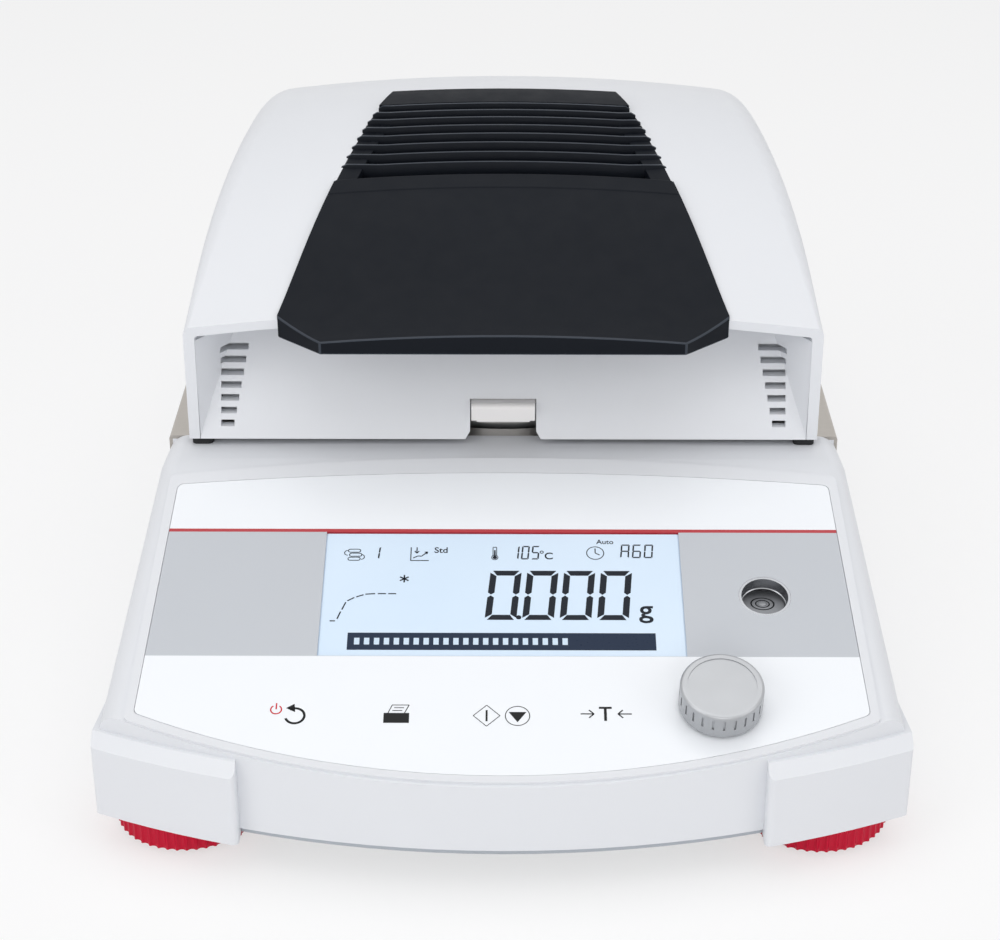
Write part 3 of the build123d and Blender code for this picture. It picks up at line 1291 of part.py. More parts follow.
def across(side, near_x, thick):
    """Plane across X where an extrusion of a given thickness starts, on either side of the lid."""
    return Plane.YZ.offset(near_x if side > 0 else -near_x - thick)


for name, side in SIDES.items():
    with BuildPart() as hinge_bracket:
        with BuildSketch(across(side, HINGE_X, EAR_THICK)):
            with BuildLine():
                Polyline(
                    (EAR_FRONT_Y, STEEL_TOP_Z),
                    (EAR_BACK_Y, STEEL_TOP_Z),
                    (HINGE_Y, HINGE_Z - EAR_RADIUS),
                    (HINGE_Y, HINGE_Z + EAR_RADIUS),
                    close=True,
                )
            make_face()
            with Locations((HINGE_Y, HINGE_Z)):
                Circle(EAR_RADIUS)
                Circle(PIN_RADIUS, mode=Mode.SUBTRACT)
        extrude(amount=EAR_THICK)
        with BuildSketch(Plane.XY.offset(STEEL_TOP_Z)):
            with Locations((side * (HINGE_X + EAR_THICK + BRACKET_BASE / 2), (EAR_FRONT_Y + EAR_BACK_Y) / 2)):
                Rectangle(BRACKET_BASE, EAR_BACK_Y - EAR_FRONT_Y)
        extrude(amount=2.0)
    save(hinge_bracket.part, f"hinge_bracket_{name}")

    with BuildPart() as hinge_arm:
        with BuildSketch(across(side, arm_x, ARM_THICK)):
            with BuildLine():
                Polyline(
                    (HINGE_Y, HINGE_Z - ARM_RADIUS),
                    (HINGE_Y, HINGE_Z + ARM_RADIUS),
                    (FRAME_REAR_Y, FRAME_Z + ARM_RISE),
                    (FRAME_REAR_Y - ARM_SEAT, FRAME_Z + ARM_RISE),
                    (FRAME_REAR_Y - ARM_SEAT, FRAME_Z + FRAME_THICK),
                    (FRAME_REAR_Y + 1.0, FRAME_Z + FRAME_THICK),
                    close=True,
                )
            make_face()
            with Locations((HINGE_Y, HINGE_Z)):
                Circle(ARM_RADIUS)
                Circle(PIN_RADIUS + RUNNING_FIT, mode=Mode.SUBTRACT)
        extrude(amount=ARM_THICK)
    save(hinge_arm.part, f"hinge_arm_{name}")

with BuildPart() as hinge_washers:
    for side in SIDES.values():
        with BuildSketch(across(side, washer_x, WASHER_THICK)):
            with Locations((HINGE_Y, HINGE_Z)):
                Circle(ARM_RADIUS)
                Circle(PIN_RADIUS, mode=Mode.SUBTRACT)
        extrude(amount=WASHER_THICK)
save(hinge_washers.part, "hinge_washers")

with BuildPart() as hinge_pins:
    for side in SIDES.values():
        with BuildSketch(across(side, pin_x, pin_length)):
            with Locations((HINGE_Y, HINGE_Z)):
                Circle(PIN_RADIUS)
        extrude(amount=pin_length)
save(hinge_pins.part, "hinge_pins")
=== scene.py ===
import math

import bmesh
import bpy
from mathutils import Matrix, Vector
from mathutils.bvhtree import BVHTree


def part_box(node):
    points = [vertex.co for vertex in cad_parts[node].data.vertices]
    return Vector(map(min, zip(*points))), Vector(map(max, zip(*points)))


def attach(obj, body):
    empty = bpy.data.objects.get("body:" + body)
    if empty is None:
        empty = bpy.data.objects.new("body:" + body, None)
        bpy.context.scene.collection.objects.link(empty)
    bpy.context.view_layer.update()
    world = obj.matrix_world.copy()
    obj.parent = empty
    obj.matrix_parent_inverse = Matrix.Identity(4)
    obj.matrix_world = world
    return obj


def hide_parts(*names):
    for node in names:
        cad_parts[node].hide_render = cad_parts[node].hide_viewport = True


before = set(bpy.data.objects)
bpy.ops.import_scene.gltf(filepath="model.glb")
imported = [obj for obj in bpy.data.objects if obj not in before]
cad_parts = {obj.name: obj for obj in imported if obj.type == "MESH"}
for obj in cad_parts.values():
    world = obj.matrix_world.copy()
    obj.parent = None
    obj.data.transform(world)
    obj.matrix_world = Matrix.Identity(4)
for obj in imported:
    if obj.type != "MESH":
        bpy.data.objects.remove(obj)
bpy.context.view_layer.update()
bpy.context.scene.view_settings.view_transform = "Standard"

MM = 0.001
SIDES = (("left", -1), ("right", 1))

# The sloping panel: its lower edge and tilt; heights above it and the thickness of ink are in millimetres
PANEL_TILT = 17.5
PANEL_PLACE = (0, -0.163, 0.03305)
PANEL = Matrix.Translation(PANEL_PLACE) @ Matrix.Rotation(math.radians(PANEL_TILT), 4, "X")
FILM_TOP = -0.05
GLASS_TOP = -0.5
INK = 0.02
INK_LIFT = 0.03

# Camera and room
CAMERA_PLACE = (0.001656, -0.609676, 0.350616)
CAMERA_PITCH = 27.273
CAMERA_TURN = -0.258
FOCAL_LENGTH = 79.2
SENSOR_WIDTH = 36.0
NEAREST_SEEN = 0.02
ROOM_LIGHT = 0.46
TABLE_GLOW = 0.62
TABLE_REACH = 3.0
TABLE_SHIFT = (0, 1.0, -0.0002)


# Camera, floor and soft studio light


def set_camera():
    lens = bpy.data.cameras.new("studio_camera")
    lens.sensor_width = SENSOR_WIDTH
    lens.lens = FOCAL_LENGTH
    lens.clip_start = NEAREST_SEEN
    camera = bpy.data.objects.new("studio_camera", lens)
    bpy.context.scene.collection.objects.link(camera)
    pitch = math.radians(CAMERA_PITCH)
    turn = math.radians(CAMERA_TURN)
    forward = Vector((math.sin(turn) * math.cos(pitch), math.cos(turn) * math.cos(pitch), -math.sin(pitch)))
    right = Vector((math.cos(turn), -math.sin(turn), 0))
    up = right.cross(forward)
    facing = Matrix((right, up, -forward)).transposed().to_4x4()
    camera.matrix_world = Matrix.Translation(CAMERA_PLACE) @ facing
    bpy.context.scene.camera = camera


def softbox(name, place, aim, width, height, power):
    lamp = bpy.data.lights.new(name, "AREA")
    lamp.shape = "RECTANGLE"
    lamp.size = width
    lamp.size_y = height
    lamp.energy = power
    softbox_object = bpy.data.objects.new(name, lamp)
    bpy.context.scene.collection.objects.link(softbox_object)
    softbox_object.location = place
    softbox_object.rotation_euler = (Vector(aim) - Vector(place)).to_track_quat("-Z", "Y").to_euler()


def larger(tree, first, second):
    """The larger of two values."""
    compare = tree.nodes.new("ShaderNodeMath")
    compare.operation = "MAXIMUM"
    tree.links.new(first, compare.inputs[0])
    tree.links.new(second, compare.inputs[1])
    return compare.outputs[0]


def seen_directly(tree):
    """1 for what the lens sees, straight or through gloss and glass, and 0 for light that bounces."""
    path = tree.nodes.new("ShaderNodeLightPath").outputs
    straight_or_gloss = larger(tree, path["Is Camera Ray"], path["Is Glossy Ray"])
    return larger(tree, straight_or_gloss, path["Is Transmission Ray"])


def set_studio():
    world = bpy.data.worlds.new("studio_room")
    world.use_nodes = True
    tree = world.node_tree
    tree.nodes.clear()
    room = tree.nodes.new("ShaderNodeBackground")
    room.inputs["Color"].default_value = (0.99, 0.99, 1.0, 1)
    room.inputs["Strength"].default_value = ROOM_LIGHT
    backdrop = tree.nodes.new("ShaderNodeBackground")
    backdrop.inputs["Color"].default_value = (1, 1, 1, 1)
    backdrop.inputs["Strength"].default_value = 1.0
    choose = tree.nodes.new("ShaderNodeMixShader")
    out = tree.nodes.new("ShaderNodeOutputWorld")
    tree.links.new(seen_directly(tree), choose.inputs[0])
    tree.links.new(room.outputs[0], choose.inputs[1])
    tree.links.new(backdrop.outputs[0], choose.inputs[2])
    tree.links.new(choose.outputs[0], out.inputs[0])
    bpy.context.scene.world = world

    table = bpy.data.materials.new("pale_table")
    table.use_nodes = True
    tree = table.node_tree
    tree.nodes.clear()
    top = tree.nodes.new("ShaderNodeBsdfDiffuse")
    top.inputs["Color"].default_value = (0.93, 0.93, 0.935, 1)
    glow = tree.nodes.new("ShaderNodeEmission")
    glow.inputs["Strength"].default_value = 1.0
    share = tree.nodes.new("ShaderNodeMath")
    share.operation = "MULTIPLY"
    share.inputs[1].default_value = TABLE_GLOW
    blend = tree.nodes.new("ShaderNodeMixShader")
    out = tree.nodes.new("ShaderNodeOutputMaterial")
    tree.links.new(seen_directly(tree), share.inputs[0])
    tree.links.new(share.outputs[0], blend.inputs[0])
    tree.links.new(top.outputs[0], blend.inputs[1])
    tree.links.new(glow.outputs[0], blend.inputs[2])
    tree.links.new(blend.outputs[0], out.inputs[0])

    bm = bmesh.new()
    bmesh.ops.create_grid(bm, x_segments=2, y_segments=2, size=TABLE_REACH)
    bmesh.ops.translate(bm, vec=TABLE_SHIFT, verts=bm.verts)
    mesh = bpy.data.meshes.new("table_top")
    bm.to_mesh(mesh)
    bm.free()
    mesh.materials.append(table)
    floor = bpy.data.objects.new("table_top", mesh)
    bpy.context.scene.collection.objects.link(floor)

    softbox("overhead_softbox", (0.0, -0.15, 1.5), (0, 0.0, 0.05), 1.8, 1.6, 10.0)
    softbox("left_softbox", (-1.1, -0.9, 0.8), (0, -0.02, 0.06), 0.9, 0.9, 4.0)
    softbox("right_softbox", (1.2, -0.8, 0.7), (0, -0.02, 0.06), 0.8, 0.8, 2.6)
    softbox("front_softbox", (0.0, -1.5, 0.35), (0, 0.0, 0.06), 0.9, 0.5, 3.5)


# Finishes


def colour(code):
    """Linear colour of a six-figure screen colour."""
    channels = [int(code[i : i + 2], 16) / 255 for i in (0, 2, 4)]
    return tuple(c / 12.92 if c <= 0.04045 else ((c + 0.055) / 1.055) ** 2.4 for c in channels) + (1.0,)


def start_finish(name):
    """A new finish with its shader, and the object's own coordinates to lay the grain by."""
    material = bpy.data.materials.new(name)
    material.use_nodes = True
    tree = material.node_tree
    shader = tree.nodes["Principled BSDF"]
    where = tree.nodes.new("ShaderNodeTexCoord").outputs["Object"]
    return material, tree, shader, where


def grain(tree, where, size, detail=2.0, stretch=(1, 1, 1)):
    """Noise whose spots are about size millimetres across."""
    spread = tree.nodes.new("ShaderNodeMapping")
    spread.inputs["Scale"].default_value = [s * 1000 / size for s in stretch]
    tree.links.new(where, spread.inputs["Vector"])
    noise = tree.nodes.new("ShaderNodeTexNoise")
    noise.inputs["Scale"].default_value = 1.0
    noise.inputs["Detail"].default_value = detail
    tree.links.new(spread.outputs["Vector"], noise.inputs["Vector"])
    return noise.outputs["Fac"]


def drift(tree, value, low, high):
    """Turns noise into a gentle change between two values."""
    remap = tree.nodes.new("ShaderNodeMapRange")
    remap.inputs["From Min"].default_value = 0.3
    remap.inputs["From Max"].default_value = 0.7
    remap.inputs["To Min"].default_value = low
    remap.inputs["To Max"].default_value = high
    tree.links.new(value, remap.inputs["Value"])
    return remap.outputs["Result"]


def tint(tree, value, first, second):
    """Mixes two colours by noise."""
    mix = tree.nodes.new("ShaderNodeMix")
    mix.data_type = "RGBA"
    mix.inputs["A"].default_value = first
    mix.inputs["B"].default_value = second
    tree.links.new(value, mix.inputs["Factor"])
    return mix.outputs["Result"]


def relief(tree, shader, value, depth):
    """Raises the surface by noise, depth in millimetres."""
    bump = tree.nodes.new("ShaderNodeBump")
    bump.inputs["Strength"].default_value = 1.0
    bump.inputs["Distance"].default_value = depth * MM
    tree.links.new(value, bump.inputs["Height"])
    tree.links.new(bump.outputs["Normal"], shader.inputs["Normal"])


def shade(code, step):
    """The same colour, a little lighter or darker."""
    return tuple(min(1.0, max(0.0, c * (1 + step))) for c in colour(code)[:3]) + (1.0,)


def mottle(tree, shader, noise, code, spread):
    """Colours a finish by noise, a little lighter and darker than its own colour."""
    tree.links.new(tint(tree, noise, shade(code, -spread), shade(code, spread)), shader.inputs["Base Color"])


def uneven_gloss(tree, shader, noise, low, high):
    """Lets the roughness drift between two values."""
    tree.links.new(drift(tree, noise, low, high), shader.inputs["Roughness"])


def moulded_plastic(name, code, gloss, grain_size=0.5, depth=0.006, spread=0.03, coat=0.0, shine=0.5):
    """Moulded plastic: spark-eroded grain, a faint drift of colour and an uneven gloss."""
    material, tree, shader, where = start_finish(name)
    mottle(tree, shader, grain(tree, where, 26.0, 3.0), code, spread)
    uneven_gloss(tree, shader, grain(tree, where, 6.0, 4.0), gloss - 0.04, gloss + 0.05)
    relief(tree, shader, grain(tree, where, grain_size, 3.0), depth)
    shader.inputs["IOR"].default_value = 1.46
    shader.inputs["Specular IOR Level"].default_value = shine
    shader.inputs["Coat Weight"].default_value = coat
    shader.inputs["Coat Roughness"].default_value = 0.2
    return material


def metal(name, code, gloss, along=(1, 1, 1), size=0.4, depth=0.002, spread=0.05):
    """Bare metal, brushed along the axes whose stretch is small."""
    material, tree, shader, where = start_finish(name)
    lines = grain(tree, where, size, 4.0, along)
    mottle(tree, shader, lines, code, spread)
    uneven_gloss(tree, shader, grain(tree, where, 9.0, 3.0), gloss - 0.05, gloss + 0.06)
    relief(tree, shader, lines, depth)
    shader.inputs["Metallic"].default_value = 1.0
    return material


def printed_film():
    """Keypad film: white, with grey bands beside the display and a red line above them."""
    material, tree, shader, where = start_finish("printed_keypad_film")
    level_out = tree.nodes.new("ShaderNodeMapping")
    level_out.vector_type = "TEXTURE"
    level_out.inputs["Location"].default_value = PANEL_PLACE
    level_out.inputs["Rotation"].default_value = (math.radians(PANEL_TILT), 0, 0)
    level_out.inputs["Scale"].default_value = (0.1, 0.1, 0.1)
    tree.links.new(where, level_out.inputs["Vector"])
    split = tree.nodes.new("ShaderNodeSeparateXYZ")
    tree.links.new(level_out.outputs["Vector"], split.inputs[0])
    inks = tree.nodes.new("ShaderNodeValToRGB")
    inks.color_ramp.interpolation = "CONSTANT"
    inks.color_ramp.elements[0].color = colour("F2F5F9")
    inks.color_ramp.elements[1].position = 0.413
    inks.color_ramp.elements[1].color = colour("C0C4CA")
    for place, code in ((0.859, "B4202C"), (0.871, "F2F5F9")):
        ink = inks.color_ramp.elements.new(place)
        ink.color = colour(code)
    tree.links.new(split.outputs["Y"], inks.inputs[0])
    tree.links.new(inks.outputs[0], shader.inputs["Base Color"])
    uneven_gloss(tree, shader, grain(tree, where, 8.0, 3.0), 0.28, 0.36)
    relief(tree, shader, grain(tree, where, 0.35, 2.0), 0.0012)
    shader.inputs["Coat Weight"].default_value = 0.15
    shader.inputs["Coat Roughness"].default_value = 0.25
    return material


def display_glass():
    """Lit display behind its window: pale blue, brighter towards the upper left."""
    material, tree, shader, where = start_finish("lit_display")
    cloud = grain(tree, where, 60.0, 1.0)
    lit = tint(tree, cloud, colour("CBE0F4"), colour("DCEBFA"))
    tree.links.new(lit, shader.inputs["Base Color"])
    tree.links.new(lit, shader.inputs["Emission Color"])
    shader.inputs["Emission Strength"].default_value = 0.03
    uneven_gloss(tree, shader, grain(tree, where, 5.0, 2.0), 0.12, 0.18)
    relief(tree, shader, grain(tree, where, 0.3, 1.0), 0.0004)
    return material


def clear_glass(name, code, gloss, depth=0.0005):
    """Clear glass with the faint waves of drawn glass."""
    material, tree, shader, where = start_finish(name)
    shader.inputs["Base Color"].default_value = colour(code)
    shader.inputs["Transmission Weight"].default_value = 0.92
    shader.inputs["IOR"].default_value = 1.46
    uneven_gloss(tree, shader, grain(tree, where, 12.0, 2.0), gloss, gloss + 0.05)
    relief(tree, shader, grain(tree, where, 7.0, 1.0), depth)
    return material


def ink(name, code, gloss=0.4):
    """Printed ink, slightly uneven in body."""
    material, tree, shader, where = start_finish(name)
    body = grain(tree, where, 0.6, 2.0)
    mottle(tree, shader, body, code, 0.06)
    uneven_gloss(tree, shader, body, gloss - 0.03, gloss + 0.04)
    shader.inputs["Specular IOR Level"].default_value = 0.2
    return material


WHITE_SHELL = moulded_plastic("white_shell_plastic", "E2E4E8", 0.42, 0.45, 0.004, 0.012)
WHITE_GRIP = moulded_plastic("white_grip_plastic", "F2F0EF", 0.36, 0.5, 0.003, 0.012)
TRAY_PLASTIC = moulded_plastic("tray_plastic", "AEB4BB", 0.55, 0.8, 0.012, 0.03)
BLACK_COVER = moulded_plastic("black_cover_plastic", "0F131A", 0.5, 0.5, 0.008, 0.08, 0.0, 0.13)
# painted highlight: a lighter black laid on the lip's rounded edge and on the fins' upward faces, where light
# catches them
BLACK_PAINTED_HIGHLIGHT = moulded_plastic("black_cover_painted_highlight", "343A43", 0.4, 0.5, 0.004, 0.08, 0.0, 0.25)
RED_FOOT = moulded_plastic("red_foot_plastic", "C40330", 0.36, 0.9, 0.006, 0.06, 0.05, 0.25)
BLACK_RUBBER = moulded_plastic("black_rubber", "1D1E20", 0.78, 0.6, 0.03, 0.10)
DARK_PLASTIC = moulded_plastic("dark_socket_plastic", "191A1D", 0.42, 0.6, 0.01, 0.08)
GREY_PANEL = moulded_plastic("grey_back_panel", "C9CCD1", 0.5, 0.6, 0.01, 0.02)
POST_PLASTIC = moulded_plastic("post_plastic", "8E9298", 0.5, 0.8, 0.01, 0.03)
CERAMIC = moulded_plastic("lamp_ceramic", "E9E2D4", 0.6, 0.7, 0.02, 0.04)
KEY_PLASTIC = moulded_plastic("key_plastic", "DDDEE2", 0.4, 0.5, 0.004, 0.02)
BOARD_GREEN = moulded_plastic("board_green", "1F5B39", 0.3, 1.6, 0.01, 0.12)
KNOB_PAINT = moulded_plastic("silver_knob_paint", "AEB0B3", 0.36, 0.35, 0.006, 0.03, 0.2)
KNOB_PAINT.node_tree.nodes["Principled BSDF"].inputs["Metallic"].default_value = 0.55
DECK_STEEL = metal("brushed_deck_steel", "B2ADA7", 0.36, (0.02, 1, 1), 0.3, 0.0015, 0.05)
PART_STEEL = metal("plated_steel", "B9BBBE", 0.3, (1, 1, 1), 2.0, 0.002, 0.04)
ALUMINIUM = metal("satin_aluminium", "CFD0D2", 0.3, (1, 1, 0.1), 0.6, 0.002, 0.04)
MIRROR = metal("bright_reflector", "E6E4E0", 0.12, (1, 1, 1), 6.0, 0.002, 0.03)
CHROME = metal("polished_sleeve", "A2A4A8", 0.22, (1, 1, 1), 3.0, 0.001, 0.04)
SOCKET_METAL = metal("socket_plating", "C6C4BE", 0.28, (1, 1, 1), 1.0, 0.002, 0.04)
FILAMENT = metal("filament_wire", "8F8A84", 0.4, (1, 1, 1), 0.5, 0.05, 0.1)
BRASS = metal("brass", "C7A457", 0.3, (1, 1, 0.1), 0.6, 0.002, 0.05)
VIAL_GLASS = moulded_plastic("vial_body", "A6A8AC", 0.14, 2.0, 0.001, 0.06, 0.6)
QUARTZ = clear_glass("quartz_tube", "F4F1EA", 0.03)
WINDOW_GLASS = clear_glass("heater_window", "EDF2F0", 0.02)
FILM = printed_film()
DISPLAY = display_glass()
# black printed ink, also used as painted shade in the screws' cross recesses
BLACK_INK_AND_RECESS_SHADE = ink("black_ink_and_recess_shade", "0E0F11")
RED_INK = ink("red_ink", "C8182A")
SEGMENT_INK = ink("display_segments", "07111F", 0.3)
BAR_INK = ink("display_bar", "14263F", 0.3)
PALE_INK = ink("display_pale", "D4E6F6", 0.3)


# Making and fitting pieces


def soften(bm, crease):
    """Smooth shading with the edges sharper than crease kept crisp."""
    for face in bm.faces:
        face.smooth = True
    limit = math.radians(crease)
    for edge in bm.edges:
        edge.smooth = len(edge.link_faces) == 2 and edge.calc_face_angle(0.0) < limit


def sharp_edges(bm, degrees):
    """Edges at which two faces turn by more than so many degrees."""
    limit = math.radians(degrees)
    return [e for e in bm.edges if len(e.link_faces) == 2 and e.calc_face_angle(0.0) > limit]


def break_edges(bm, edges, width, segments=2):
    """Rounds edges off by width and gives back the new faces."""
    return bmesh.ops.bevel(
        bm,
        geom=edges,
        offset=width,
        affect="EDGES",
        segments=segments,
        profile=0.5,
        material=-1,
        clamp_overlap=True,
    )["faces"]


def thicken(bm, thickness):
    """Gives all faces a thickness."""
    bmesh.ops.solidify(bm, geom=bm.faces[:], thickness=thickness)
    bmesh.ops.recalc_face_normals(bm, faces=bm.faces)


def pull_out(bm, step):
    """Pulls all faces out along a step, leaving a closed body."""
    pulled = bmesh.ops.extrude_face_region(bm, geom=bm.faces[:])["geom"]
    bmesh.ops.translate(bm, vec=step, verts=[g for g in pulled if isinstance(g, bmesh.types.BMVert)])
    bmesh.ops.recalc_face_normals(bm, faces=bm.faces)


def pour(scrap, bm):
    """Adds one mesh in the making to another and lets go of it."""
    flat = bpy.data.meshes.new("scrap")
    scrap.to_mesh(flat)
    scrap.free()
    bm.from_mesh(flat)
    bpy.data.meshes.remove(flat)


def fit(name, bm, finish, body, crease=35.0):
    """Makes the piece, gives it its finish and fixes it to what carries it."""
    soften(bm, crease)
    mesh = bpy.data.meshes.new(name)
    bm.to_mesh(mesh)
    bm.free()
    mesh.materials.append(finish)
    made = bpy.data.objects.new(name, mesh)
    bpy.context.scene.collection.objects.link(made)
    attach(made, body)
    return made


def merged(node):
    """The node's triangles in one connected mesh, with flat areas joined up."""
    bm = bmesh.new()
    bm.from_mesh(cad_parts[node].data)
    bmesh.ops.remove_doubles(bm, verts=bm.verts, dist=0.000002)
    bmesh.ops.dissolve_limit(bm, angle_limit=math.radians(0.25), verts=bm.verts, edges=bm.edges)
    return bm


WINDOW_HALF = 0.0489
WINDOW_TOP_LOW = 0.0844
WINDOW_TOP_HIGH = 0.0853
WINDOW_DEEPEST = -0.0009
WINDOW_RISE = 0.00095


def raise_window_top(bm):
    """Takes the upper edge of the display window up to the red line."""
    back = PANEL.inverted()
    for vert in bm.verts:
        place = back @ vert.co
        at_top = WINDOW_TOP_LOW < place.y < WINDOW_TOP_HIGH
        if at_top and abs(place.x) < WINDOW_HALF and place.z > WINDOW_DEEPEST:
            place.y += WINDOW_RISE
            vert.co = PANEL @ place


def shade_evenly(made):
    """Weights the shading by the size of the faces, so that broad areas stay flat."""
    even = made.modifiers.new("even_shading", "WEIGHTED_NORMAL")
    even.keep_sharp = True


def surface(node, finish, body, crease=35.0):
    """Stands for a node with smooth curves."""
    bm = merged(node)
    if node in ("panel_overlay", "lcd_module"):
        raise_window_top(bm)
    made = fit(node + "_finished", bm, finish, body, crease)
    shade_evenly(made)
    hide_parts(node)


def dress(finish, *nodes):
    """Gives nodes whose shape is right as it is their finish."""
    for node in nodes:
        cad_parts[node].data.materials[0] = finish


def bar(bm, left, low, right, high):
    """Flat rectangle."""
    made = bmesh.ops.create_grid(bm, x_segments=1, y_segments=1, size=0.5)["verts"]
    bmesh.ops.scale(bm, vec=(right - left, high - low, 1), verts=made)
    bmesh.ops.translate(bm, vec=((left + right) / 2, (low + high) / 2, 0), verts=made)
    return made


def disc(bm, x, y, radius, sides=20):
    """Flat round dot."""
    made = bmesh.ops.create_circle(bm, cap_ends=True, segments=sides, radius=radius)["verts"]
    bmesh.ops.translate(bm, vec=(x, y, 0), verts=made)


def hoop(bm, x, y, outer, inner, begin=0.0, sweep=360.0):
    """Flat ring, or the part of one from an angle round by sweep degrees."""
    first = bm.verts.new((x + inner, y, 0))
    last = bm.verts.new((x + outer, y, 0))
    rung = bm.edges.new((first, last))
    turn = Matrix.Rotation(math.radians(begin), 3, "Z")
    bmesh.ops.rotate(bm, cent=(x, y, 0), matrix=turn, verts=[first, last])
    bmesh.ops.spin(
        bm,
        geom=[first, last, rung],
        cent=(x, y, 0),
        axis=(0, 0, 1),
        angle=math.radians(sweep),
        steps=max(8, int(abs(sweep) / 8)),
        use_merge=sweep >= 360.0,
        use_duplicate=False,
    )


def line(bm, start, end, width):
    """Straight stroke between two points."""
    reach = Vector(end) - Vector(start)
    made = bar(bm, 0, -width / 2, reach.length, width / 2)
    turn = Matrix.Rotation(math.atan2(reach.y, reach.x), 3, "Z")
    bmesh.ops.rotate(bm, cent=(0, 0, 0), matrix=turn, verts=made)
    bmesh.ops.translate(bm, vec=(start[0], start[1], 0), verts=made)


def patch(bm, *corners):
    """Flat face through its corners."""
    bm.faces.new([bm.verts.new((x, y, 0)) for x, y in corners])


def lay_ink(name, bm, finish, lift):
    """Gives a flat print its body and lays it on the sloping panel."""
    bmesh.ops.recalc_face_normals(bm, faces=bm.faces)
    for face in bm.faces:
        if face.normal.z < 0:
            face.normal_flip()
    thicken(bm, -INK)
    place = PANEL @ Matrix.Translation((0, 0, lift * MM)) @ Matrix.Scale(MM, 4)
    bmesh.ops.transform(bm, matrix=place, verts=bm.verts)
    fit(name, bm, finish, "base", 20.0)


def lettering(bm, words, x, y, height, weight=0.012):
    """Adds short lettering to a flat print, its foot at x, y."""
    text = bpy.data.curves.new("lettering", "FONT")
    text.body = words
    text.size = height
    text.fill_mode = "FRONT"
    text.offset = height * weight
    text.resolution_u = 4
    holder = bpy.data.objects.new("lettering", text)
    flat = bpy.data.meshes.new_from_object(holder)
    flat.transform(Matrix.Translation((x, y, 0)))
    bm.from_mesh(flat)
    bpy.data.objects.remove(holder)
    bpy.data.curves.remove(text)
    bpy.data.meshes.remove(flat)


SEGMENTS = {
    "0": "abcdef",
    "1": "bc",
    "5": "acdfg",
    "6": "acdefg",
    "A": "abcefg",
}

# Width, height and stroke of the display's figures
BIG_FIGURE = (8.4, 17.6, 1.75)
WARMTH_FIGURE = (2.1, 5.0, 0.42)
TIME_FIGURE = (2.4, 5.0, 0.42)
STORE_FIGURE = (2.1, 4.6, 0.42)


def numeral(bm, figure, x, y, width, height, thick, lean=0.087):
    """One figure of display segments with mitred ends, leaning to the right."""
    scrap = bmesh.new()
    half = height / 2
    t = thick
    gap = thick * 0.06
    across = {"a": height, "g": half + t / 2, "d": t}
    for name, top in across.items():
        if name in SEGMENTS[figure]:
            near = t if name != "g" else t * 0.6
            if name == "a":
                patch(
                    scrap,
                    (gap + 0.3 * t, top),
                    (width - gap - 0.3 * t, top),
                    (width - t - gap, top - t),
                    (t + gap, top - t),
                )
            elif name == "d":
                patch(
                    scrap,
                    (gap + 0.3 * t, 0),
                    (width - gap - 0.3 * t, 0),
                    (width - t - gap, t),
                    (t + gap, t),
                )
            else:
                patch(
                    scrap,
                    (near, half),
                    (near + t / 2, half + t / 2),
                    (width - near - t / 2, half + t / 2),
                    (width - near, half),
                    (width - near - t / 2, half - t / 2),
                    (near + t / 2, half - t / 2),
                )
    uprights = (("e", 0, 0, 1), ("f", 0, height, -1), ("c", width, 0, 1), ("b", width, height, -1))
    for name, left, base, rise in uprights:
        if name in SEGMENTS[figure]:
            inward = 1 if left == 0 else -1
            patch(
                scrap,
                (left, base + rise * (0.35 * t + gap)),
                (left + inward * t, base + rise * (t + 2 * gap)),
                (left + inward * t, base + rise * (half - 0.45 * t - gap)),
                (left + inward * 0.5 * t, base + rise * (half - gap * 1.5)),
                (left, base + rise * (half - 0.45 * t - gap)),
            )
    slant = Matrix(((1, lean, 0, x), (0, 1, 0, y), (0, 0, 1, 0), (0, 0, 0, 1)))
    bmesh.ops.transform(scrap, matrix=slant, verts=scrap.verts)
    bmesh.ops.remove_doubles(scrap, verts=scrap.verts, dist=0.0001)
    pour(scrap, bm)


# Display picture


